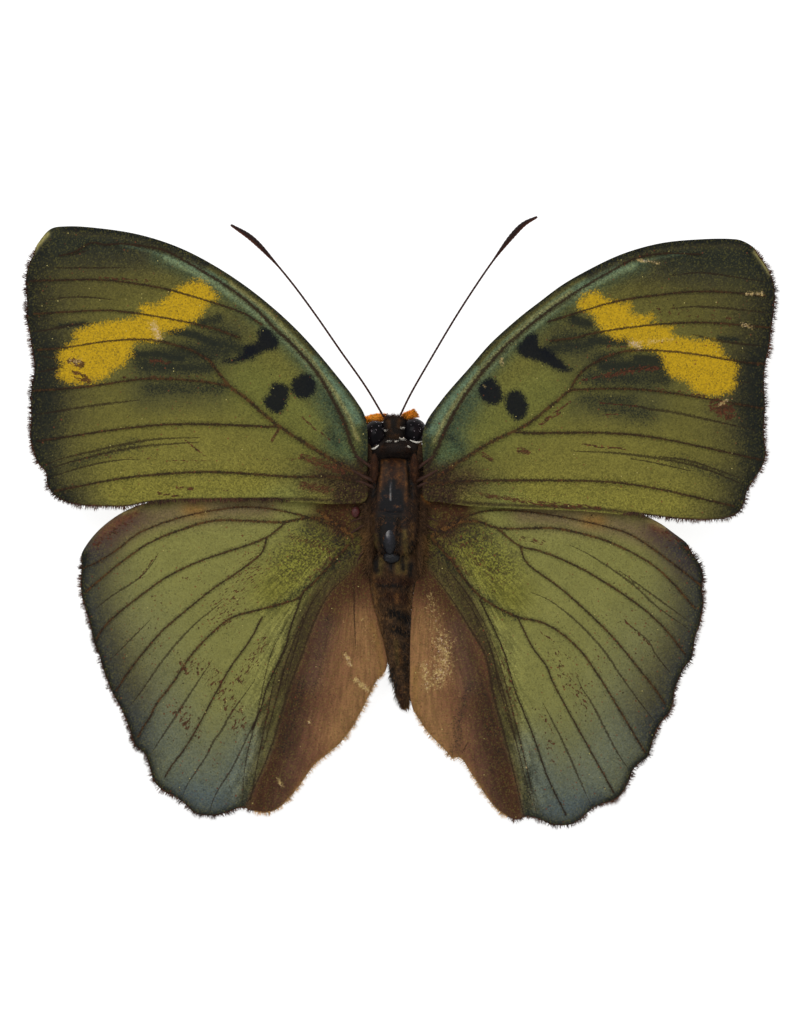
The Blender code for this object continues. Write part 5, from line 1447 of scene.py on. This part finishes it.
HAIR_PAINT = [
    ("hair dark", 0.8, 0.9, [(-2.6, 2.4), (-2.6, -0.4)]), ("hair dark", 0.8, 0.9, [(2.4, 2.4), (2.4, 0)]),
    ("hair gold", 0.7, 0.7, [(-3.2, -4.4), (-3.4, -7.2)]), ("hair gold", 0.8, 0.6, [(3.2, -5), (3.3, -8)]),
    ("hair orange", 0.7, 0.3, [(2.8, -0.6), (3.2, -1.1)]),
    ("hair orange", 0.6, 0.4, [(-3.4, 2.6), (-3.2, 1.6)]),
    ("tuft olive", 0.6, 0.6, [(0.9, -5), (1.4, -7.4)]),
]
WHITE_SPECKS = [
    (-0.98, 5.92), (0.65, 6.2), (-0.7, 4.88), (0.05, 4.85), (0.55, 5.12), (0.72, 5.04), (1.3, 4.3),
]


def grid_faces(rows, columns):
    """The faces of a closed tube of rings, whose two end points follow its rings, seen from outside."""
    faces = []
    start = rows * columns
    for j in range(columns):
        k = (j + 1) % columns
        faces.append((start, j, k))
        faces.append((start + 1, (rows - 1) * columns + k, (rows - 1) * columns + j))
        for i in range(rows - 1):
            faces.append((i * columns + j, (i + 1) * columns + j, (i + 1) * columns + k, i * columns + k))
    return faces


def rounded(form, rows, columns, lumps=0.0):
    """A rounded form with its end points front and back, with a slight lumpiness."""
    centre, half, power = form
    tilt, turn = np.meshgrid(
        math.pi * np.arange(1, rows) / rows, 2.0 * math.pi * np.arange(columns) / columns, indexing="ij"
    )
    way = np.stack([np.sin(tilt) * np.cos(turn), -np.cos(tilt), np.sin(tilt) * np.sin(turn)], axis=-1)
    way = np.vstack([way.reshape(-1, 3), [[0.0, -1.0, 0.0], [0.0, 1.0, 0.0]]])
    size = np.sum(np.abs(way) ** power, axis=1) ** (-1.0 / power)
    size += lumps * np.sin(5.0 * way[:, 0] + 2.0) * np.sin(7.0 * way[:, 1] + 1.0) * np.sin(6.0 * way[:, 2])
    return np.array(centre) + way * size[:, None] * half, grid_faces(rows - 1, columns)


def tube(route, columns, up=(0.0, 0.0, 1.0)):
    """A round tube along points of x, y, z and radius, closed at both ends."""
    route = np.asarray(route, float)
    centre, radius = route[:, :3], route[:, 3]
    along = np.gradient(centre, axis=0)
    along /= np.linalg.norm(along, axis=1)[:, None]
    side = np.cross(along, up)
    side /= np.linalg.norm(side, axis=1)[:, None]
    above = np.cross(side, along)
    turn = 2.0 * math.pi * np.arange(columns) / columns
    ring = side[:, None, :] * np.cos(turn)[None, :, None] + above[:, None, :] * np.sin(turn)[None, :, None]
    points = (centre[:, None, :] + ring * radius[:, None, None]).reshape(-1, 3)
    ends = [centre[0] - along[0] * radius[0] * 0.4, centre[-1] + along[-1] * radius[-1] * 0.4]
    return np.vstack([points, ends]), grid_faces(len(route), columns)


def top_of(form, x, y):
    """The height of a rounded form's top above a place."""
    centre, half, power = form
    left = 1.0 - abs((x - centre[0]) / half[0]) ** power - abs((y - centre[1]) / half[1]) ** power
    return centre[2] + half[2] * max(left, 0.0) ** (1.0 / power)


def places_in(box, count, rng):
    """Random places in a box that is given as its spans in x, y and z."""
    return np.column_stack([rng.uniform(low, high, count) for low, high in box])


def scatter(points, faces, count, rng):
    """Random places spread evenly over a surface, with the directions out of it."""
    corners = points[np.array([(f[0], f[k], f[k + 1]) for f in faces for k in range(1, len(f) - 1)])]
    normal = np.cross(corners[:, 1] - corners[:, 0], corners[:, 2] - corners[:, 0])
    area = np.linalg.norm(normal, axis=1)
    pick = rng.choice(len(area), count, p=area / area.sum())
    a, b = rng.random((2, count, 1))
    over = a + b > 1.0
    a, b = np.where(over, 1.0 - a, a), np.where(over, 1.0 - b, b)
    places = corners[pick, 0] * (1.0 - a - b) + corners[pick, 1] * a + corners[pick, 2] * b
    return places, normal[pick] / area[pick, None]


def shell(name, roughness, mottle, dark="body black", light="rim brown", specular=0.12):
    """Dry, dusty shell: the painted ground, mottled darker and lighter, with a fine rough surface."""
    s = Shader(name)
    blotch = s.noise(2.2, 4.0, 0.65)
    grain = s.noise(8.0, 3.0, 0.7)
    colour = s.colour("ground")
    colour = s.mix(s.ramp(blotch, 0.38, 0.62, mottle, 0.0), colour, dark)
    colour = s.mix(s.ramp(s.shift(blotch, grain, 0.5), 0.55, 0.75, 0.0, mottle), colour, light)
    colour = s.times(colour, s.ramp(grain, 0.3, 0.7, 0.6, 1.4))
    dull = s.ramp(grain, 0.3, 0.7, roughness - 0.08, roughness + 0.08)
    return s.finish(colour, dull, s.math("ADD", grain, blotch), 0.7, 0.07, specular)


def comb(name, surface, count, length, sweep, colours, material, keep=None, width=0.022):
    """Hair over a surface, swept one way, with its colours taken from the strokes under its roots."""
    rng = np.random.default_rng(SEED + count)
    places, normals = scatter(*surface, count, rng)
    if keep is not None:
        kept = keep(places, normals)
        places, normals = places[kept], normals[kept]
    count = len(places)
    sweep = np.asarray(sweep)
    clump = np.sin(3.1 * places[:, 0] + 2.0 * np.sin(2.3 * places[:, 1])) * np.sin(2.7 * places[:, 1] + 1.0)
    lengths = length * (0.75 + 0.3 * clump + rng.normal(0.0, 0.2, count)).clip(0.3, 1.5)
    way = normals * HAIR_STAND + sweep + rng.normal(0.0, HAIR_STRAY, (count, 3))
    bends = sweep * lengths[:, None] * HAIR_BEND + rng.normal(0.0, 0.08, (count, 3)) * lengths[:, None]
    widths = rng.uniform(0.6, 1.25, count) * width
    base, strokes = colours
    painted = paint(places[:, :2], base, strokes)
    gilt = (rng.random((count, 1)) < GILT_SHARE) * GILT_COVER
    painted = painted * (1.0 - gilt) + painted.mean(axis=0) * GILT_BRIGHTER * gilt
    add_hairs(name, places - normals * HAIR_SINK, way, lengths, widths, bends, painted, material)


def add_form(name, surface, material, colours, node=None, extra=None):
    """A smooth closed piece with its painted ground. It replaces the part's node where one is named."""
    points, faces = surface
    base, strokes = colours
    values = {"ground": paint(points[:, :2], base, strokes)}
    values.update(extra or {})
    piece = add_piece(name, points, faces, [material], None, values)
    if node:
        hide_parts(node)


def add_head(looks):
    """The hairy head, with a tuft between the antennae and tufts of white specks."""
    surface = rounded(HEAD, 48, 64, 0.04)
    colours = ("head black", HEAD_PAINT)
    add_form("head_shell", surface, looks["matt"], colours, "head")
    comb("head_hair", surface, 2600, 0.36, (0.0, -0.2, 0.4), colours, looks["hair"])
    rng = np.random.default_rng(SEED)
    roots = places_in(HEAD_TUFT, HEAD_TUFT_HAIRS, rng)
    rise = rng.uniform(-0.2, 0.9, HEAD_TUFT_HAIRS)
    ways = np.column_stack([roots[:, 0] * 0.5, np.full(HEAD_TUFT_HAIRS, 0.8), rise])
    lengths = rng.uniform(0.3, 0.6, HEAD_TUFT_HAIRS)
    add_tuft("head_tuft", roots, ways, lengths, 0.022, ("tuft brown", []), looks["hair"])
    specks, ways = [], []
    for x, y in WHITE_SPECKS:
        height = max(top_of(form, x, y) for form in (HEAD, COLLAR, NECK)) + 0.02
        for _ in range(SPECK_HAIRS):
            a, b = rng.normal(0.0, SPECK_SPREAD, 2)
            specks.append((x + a, y + b, height))
            ways.append((0.3 + a, 0.2 + b, 0.9))
    lengths = rng.uniform(0.2, 0.34, len(specks))
    add_tuft("head_specks", specks, ways, lengths, 0.03, ("white", []), looks["hair"])


def add_eyes(looks):
    """Dark, finely faceted eyes with grains of dust on them and a white rim behind."""
    s = Shader("eye")
    colour = s.mix(s.ramp(s.noise(0.9, 3.0), 0.4, 0.7), "eye black", "eye brown")
    gloss = s.finish(colour, 0.22, s.cells(9.0), 0.35, 0.02, 0.05)
    rng = np.random.default_rng(SEED)
    for side, form in EYES.items():
        places, normals = scatter(*rounded(form, 24, 32), EYE_GRAINS, rng)
        upper = normals[:, 2] > 0.2
        places, normals = places[upper], normals[upper]
        widths = rng.uniform(0.03, 0.065, len(places))
        add_tuft(f"eye_dust_{side}", places, normals, 0.05, widths, ("eye dust", []), looks["hair"])
        add_form(f"eyeball_{side}", rounded(form, 40, 56), gloss, ("eye black", []), f"eye_{side}")
        crest = [(x, y, max(top_of(form, x, y), top_of(NECK, x, y)) + 0.04, 0.0) for x, y in EYE_RIMS[side]]
        route = smooth_line(crest, 0.08)
        taper = np.sin(math.pi * np.linspace(0.06, 0.94, len(route)))
        route[:, 3] = EYE_RIM_ENDS + EYE_RIM_MIDDLE * taper
        add_form(f"eye_rim_{side}", tube(route, 10), looks["matt"], ("white", []))


def add_antennae(looks):
    """Shafts of short joints that swell into clubs, dark with a rusty rear side."""

    def on_rings(values):
        """The tube's rings take one value each, and its end points take the first and the last."""
        return np.concatenate([np.repeat(values, SHAFT_SIDES), values[[0, -1]]])

    for side, places in ANTENNAE.items():
        line = smooth_line(places, JOINT_LENGTH / 6)
        lengths = np.linalg.norm(np.diff(line, axis=0), axis=1)
        gone = np.concatenate([[0.0], np.cumsum(lengths)])
        club = np.clip(1.0 - (gone[-1] - gone) / CLUB_LENGTH, 0.0, 1.0) * CLUB_END
        swell = np.sin(math.pi * club ** CLUB_LEAN) ** CLUB_FULLNESS
        joint = np.abs(np.sin(math.pi * gone / JOINT_LENGTH)) ** 0.5
        radius = SHAFT_RADIUS + (CLUB_RADIUS - SHAFT_RADIUS) * swell
        radius = radius * (1.0 - JOINT_PINCH + JOINT_PINCH * joint)
        points, faces = tube(np.column_stack([line, radius]), SHAFT_SIDES)
        rear = (on_rings(line[:, 1]) - points[:, 1]) / on_rings(radius)
        rusty = (np.clip(rear, 0.0, 1.0) ** 2)[:, None]
        dark = 1.0 - CLUB_DARK * on_rings(swell)[:, None]
        tone = linear(palette("antenna")) * dark * (1.0 - rusty) + linear(palette("antenna rust")) * rusty
        add_form(f"antenna_shaft_{side}", (points, faces), looks["satin"], ("antenna", []),
                 f"antenna_{side}", {"ground": tone})


def add_palps(looks):
    """Furry palps. The right one bears a torn, square tuft, and loose hairs hang from the left one's end."""
    for side, places in PALPS.items():
        surface = tube(smooth_line(places, 0.12), 16)
        colours = ("palp", [("palp dark", 0.7, 0.4, [places[0][:2]])])
        add_form(f"palp_core_{side}", surface, looks["matt"], colours, f"palp_{side}")
        comb(f"palp_hair_{side}", surface, 1400, 0.28, PALP_SWEEPS[side], colours, looks["hair"],
             width=0.03)
    rng = np.random.default_rng(SEED)
    share = rng.random((FLAG_HAIRS, 1))
    ends = FLAG_TIP * (1.0 - share) + FLAG_CORNER * share + rng.normal(0.0, 0.05, (FLAG_HAIRS, 3))
    roots = FLAG_ROOT + rng.normal(0.0, 0.1, (FLAG_HAIRS, 3))
    ways = ends - roots
    lengths = np.linalg.norm(ways, axis=1)
    add_tuft("palp_flag", roots, ways, lengths, 0.035, ("palp", []), looks["hair"])
    roots = places_in(LOOSE_PALP_BOX, LOOSE_PALP_HAIRS, rng)
    across = rng.normal(-0.1, 0.2, LOOSE_PALP_HAIRS)
    rise = rng.normal(0.0, 0.1, LOOSE_PALP_HAIRS)
    ways = np.column_stack([across, np.full(LOOSE_PALP_HAIRS, -1.0), rise])
    lengths = rng.uniform(0.3, 0.85, LOOSE_PALP_HAIRS)
    add_tuft("palp_fringe", roots, ways, lengths, 0.03, ("palp", []), looks["hair"])


def add_proboscis(looks):
    """The proboscis, coiled under the head."""
    inner, outer = COIL_RADII
    x, y, z = COIL_CENTRE
    route = []
    for i in range(COIL_STEPS + 1):
        share = i / COIL_STEPS
        angle = 2.0 * math.pi * COIL_TURNS * share
        reach = outer + (inner - outer) * share
        ridge = 1.0 - 0.12 * abs(math.sin(1.5 * i))
        route.append((x, y + reach * math.sin(angle), z + reach * math.cos(angle), COIL_TUBE * ridge))
    surface = tube(route, 12, (1.0, 0.0, 0.0))
    add_form("proboscis_coil", surface, looks["satin"], ("antenna rust", []), "proboscis")


def add_legs(looks):
    """Six folded legs with faint joints and short spines."""
    colours = ("leg brown", [])
    for kind, route in LEGS.items():
        for side, mirror in (("left", 1.0), ("right", -1.0)):
            line = smooth_line(route, LEG_STEP)
            line[:, 0] *= mirror
            gone = np.arange(len(line)) * LEG_STEP
            line[:, 3] *= 0.9 + 0.1 * np.abs(np.sin(math.pi * gone / LEG_JOINT))
            surface = tube(line, 14)
            add_form(f"{kind}_shell_{side}", surface, looks["satin"], colours, f"{kind}_{side}")
            comb(f"{kind}_spines_{side}", surface, 260, 0.24, (0.0, -0.4, 0.0), colours, looks["hair"],
                 lambda places, _: places[:, 2] > 0.25, 0.02)


def add_thorax(looks):
    """The thorax with its soft relief and hairy sides, and the shiny shield on its rear, whose highlights are
    partly painted.
    """
    points, faces = rounded(THORAX, 130, 130, 0.012)
    for height, width, line in THORAX_RELIEF:
        gap = line_distance(points[:, :2], line)[0]
        on_top = np.clip(points[:, 2] - RELIEF_ABOVE, 0.0, 1.0)
        points[:, 2] += height * np.exp(-((gap / width) ** 2)) * on_top
    points[:, 2] = points[:, 2].clip(0.0, CAD_HIGH[2] / MM)
    colours = ("thorax brown", THORAX_PAINT)
    add_form("thorax_shell", (points, faces), looks["thorax"], colours, "thorax")

    def off_the_plates(places, normals):
        middle, half, rear = BARE_PLATE
        centre, halves = BARE_SHIELD
        plate = (np.abs(places[:, 0] - middle) < half) & (places[:, 1] > rear)
        shield = np.hypot(*((places[:, :2] - centre) / halves).T) < 1.0
        return ~((plate | shield) & (normals[:, 2] > 0.2)) & (places[:, 2] > 0.8)

    comb("thorax_hair", (points, faces), 5200, 0.62, (0.0, -0.55, 0.15), ("hair brown", HAIR_PAINT),
         looks["hair"], off_the_plates)
    points, faces = rounded(SCUTELLUM, 40, 40, 0.02)
    points[:, 2] = points[:, 2].clip(0.0, CAD_HIGH[2] / MM)
    add_form("scutellum", (points, faces), looks["gloss"], ("shell blue", SCUTELLUM_HIGHLIGHTS))


def add_tegulae(looks):
    """Small hairy flaps over the roots of the forewings."""
    for side, form in TEGULAE.items():
        surface = rounded(form, 36, 24, 0.03)
        colours = ("plate brown", [("rim brown", 0.9, 0.12, [form[0][:2]])])
        add_form(f"tegula_flap_{side}", surface, looks["matt"], colours, f"tegula_{side}")
        comb(f"tegula_hair_{side}", surface, 420, 0.34, (0.0, -0.7, 0.0), ("plate brown", []), looks["hair"])


def add_collar(looks):
    surface = rounded(COLLAR, 36, 64, 0.05)
    colours = ("head black", COLLAR_PAINT)
    add_form("collar_shell", surface, looks["matt"], colours, "prothorax")
    comb("collar_hair", surface, 2400, 0.34, (0.0, -0.4, 0.25), colours, looks["hair"])


def add_neck_and_waist(looks):
    """Hairy links before and behind the thorax, whose hair keeps clear of the eyes."""

    def clear_of_eyes(places, normals):
        return (normals[:, 2] > -0.3) & ((places[:, 1] < EYE_REAR) | (np.abs(places[:, 0]) < EYE_INNER))

    links = (("neck", NECK, ("head black", [])), ("waist", WAIST, ("hair brown", ABDOMEN_PAINT)))
    for name, form, colours in links:
        surface = rounded(form, 40, 64, 0.05)
        add_form(name + "_shell", surface, looks["matt"], colours)
        comb(name + "_hair", surface, 3000, 0.45, (0.0, -0.6, 0.15), colours, looks["hair"],
             clear_of_eyes)


def add_small_plates(looks):
    """The round bead beside the left wing root and the small plate behind the shield."""
    bead = rounded(BEAD, 24, 30, 0.02)
    add_form("bead", bead, looks["gloss"], ("bead", []))
    plate = rounded(POSTNOTUM, 24, 30, 0.03)
    add_form("postnotum", plate, looks["gloss"], ("shell blue", []))


def add_flanks(looks):
    """Hairy flanks between the thorax and the wing roots, with the ridges that the veins grow from."""
    colours = ("hair brown", HAIR_PAINT)
    for side, form in ROOT_PADS.items():
        mirror = 1.0 if side == "left" else -1.0
        surface = rounded(form, 60, 40, 0.08)
        add_form(f"flank_{side}", surface, looks["matt"], colours)
        for number, route in enumerate(ROOT_RIDGES):
            ridge = smooth_line(route, 0.12)
            ridge[:, 0] *= mirror
            name = f"root_ridge_{side}_{number}"
            add_form(name, tube(ridge, 12), looks["satin"], ("sclerite", []))
        comb(f"flank_hair_{side}", surface, 4600, 0.6, (-0.6 * mirror, -0.55, 0.12), colours, looks["hair"],
             lambda places, normals: normals[:, 2] > -0.4)


def add_abdomen(looks):
    """The abdomen's pinched rings under their hair, with a tuft at the tip."""
    line = smooth_line(ABDOMEN, 0.1)
    phase = math.pi * (line[0, 1] - line[:, 1]) / RING_LENGTH
    pinch = np.abs(np.cos(phase)) ** 3 * np.minimum(line[:, 3], 1.0)
    line[:, 3] -= RING_DEPTH * pinch
    points, faces = tube(line, 72)
    rough = np.sin(4.1 * points[:, 0] + 2.0 * points[:, 1]) * np.sin(3.3 * points[:, 1] - 2.2 * points[:, 0])
    points[:, 2] += 0.05 * rough
    colours = ("abdomen brown", ABDOMEN_PAINT)
    add_form("abdomen_rings", (points, faces), looks["abdomen"], colours, "abdomen")
    tip = np.array(ABDOMEN[-1][:3]) + (0.0, 0.5, 0.0)
    rng = np.random.default_rng(SEED)
    roots = tip + rng.normal(0.0, 1.0, (TIP_HAIRS, 3)).clip(-1.2, 1.2) * (0.3, 0.25, 0.3)
    across = rng.normal(0.12, 0.22, TIP_HAIRS)
    rise = rng.normal(0.0, 0.2, TIP_HAIRS)
    ways = np.column_stack([across, np.full(TIP_HAIRS, -1.0), rise])
    lengths = rng.uniform(0.25, 0.7, TIP_HAIRS)
    widths = rng.uniform(0.02, 0.045, TIP_HAIRS)
    colours = ("abdomen gold", ABDOMEN_PAINT[-TIP_STROKES:])
    add_tuft("abdomen_tip", roots, ways, lengths, widths, colours, looks["hair"])
    comb("abdomen_hair", (points, faces), 6500, 0.55, (0.0, -0.85, 0.05), ("hair brown", ABDOMEN_PAINT),
         looks["hair"], lambda places, normals: places[:, 2] > 0.7)


def add_body():
    looks = {
        "hair": hair_shader("body hair", 0.7, 1.25),
        "matt": shell("matt shell", 0.75, 0.35),
        "satin": shell("satin shell", 0.42, 0.2),
        "thorax": shell("thorax plates", 0.55, 0.6),
        "abdomen": shell("abdomen rings", 0.72, 0.6, "body black", "abdomen gold"),
        "gloss": shell("polished shell", 0.2, 0.3, "body black", "shell grey", 0.2),
    }
    add_head(looks)
    add_eyes(looks)
    add_antennae(looks)
    add_palps(looks)
    add_proboscis(looks)
    add_legs(looks)
    add_thorax(looks)
    add_tegulae(looks)
    add_collar(looks)
    add_neck_and_waist(looks)
    add_small_plates(looks)
    add_flanks(looks)
    add_abdomen(looks)


# The stage. The camera looks straight down, and its frame is 102.4 mm high at the wings.
FLOOR_SIDE = 4000.0
FLOOR_DROP = 0.02
FLOOR_GLOW = 0.86
CAMERA_X = 0.5
CAMERA_Y = -2.2
CAMERA_LENS = 150.0
CAMERA_SENSOR = 36.0
FRAME_HEIGHT = 102.4
WING_LEVEL = 5.4
WORLD_STRENGTH = 0.74
KEY_SIZE = 260.0
KEY_PLACE = (-120.0, 190.0, 330.0)
KEY_POWER = 0.7


def add_floor():
    """A pale, evenly glowing ground that takes the part's soft shadow."""
    s = Shader("floor")
    colour = s.mix(s.noise(0.01, 1.0), (0.3, 0.3, 0.3, 1.0), (0.32, 0.32, 0.32, 1.0))
    s.finish(colour, 0.9, None, specular=0.1)
    s.surface.inputs["Emission Color"].default_value = (1.0, 1.0, 1.0, 1.0)
    s.surface.inputs["Emission Strength"].default_value = FLOOR_GLOW
    mesh = bpy.data.meshes.new("floor")
    half = FLOOR_SIDE * MM / 2
    corners = [(-half, -half, 0), (half, -half, 0), (half, half, 0), (-half, half, 0)]
    mesh.from_pydata(corners, [], [(0, 1, 2, 3)])
    mesh.materials.append(s.material)
    floor = bpy.data.objects.new("floor", mesh)
    floor.location.z = -FLOOR_DROP * MM
    bpy.context.scene.collection.objects.link(floor)


def add_light(name, place, size, power):
    """A round light that faces the part."""
    light = bpy.data.lights.new(name, "AREA")
    light.shape = "DISK"
    light.size = size * MM
    light.energy = power
    thing = bpy.data.objects.new(name, light)
    thing.location = Vector(place) * MM
    thing.rotation_euler = (-Vector(place)).to_track_quat("-Z", "Y").to_euler()
    bpy.context.scene.collection.objects.link(thing)


def add_stage():
    add_floor()
    scene = bpy.context.scene
    world = bpy.data.worlds.new("studio")
    world.use_nodes = True
    world.node_tree.nodes["Background"].inputs[0].default_value = (1.0, 1.0, 1.0, 1.0)
    world.node_tree.nodes["Background"].inputs[1].default_value = WORLD_STRENGTH
    scene.world = world
    scene.view_settings.view_transform = "Standard"
    add_light("key", KEY_PLACE, KEY_SIZE, KEY_POWER)
    camera = bpy.data.cameras.new("camera")
    camera.lens = CAMERA_LENS
    camera.sensor_width = CAMERA_SENSOR
    camera.clip_start = 0.01
    camera.clip_end = 20.0
    distance = FRAME_HEIGHT * CAMERA_LENS / CAMERA_SENSOR
    thing = bpy.data.objects.new("camera", camera)
    thing.location = (CAMERA_X * MM, CAMERA_Y * MM, (WING_LEVEL + distance) * MM)
    scene.collection.objects.link(thing)
    scene.camera = thing


add_wings()
add_body()
add_stage()
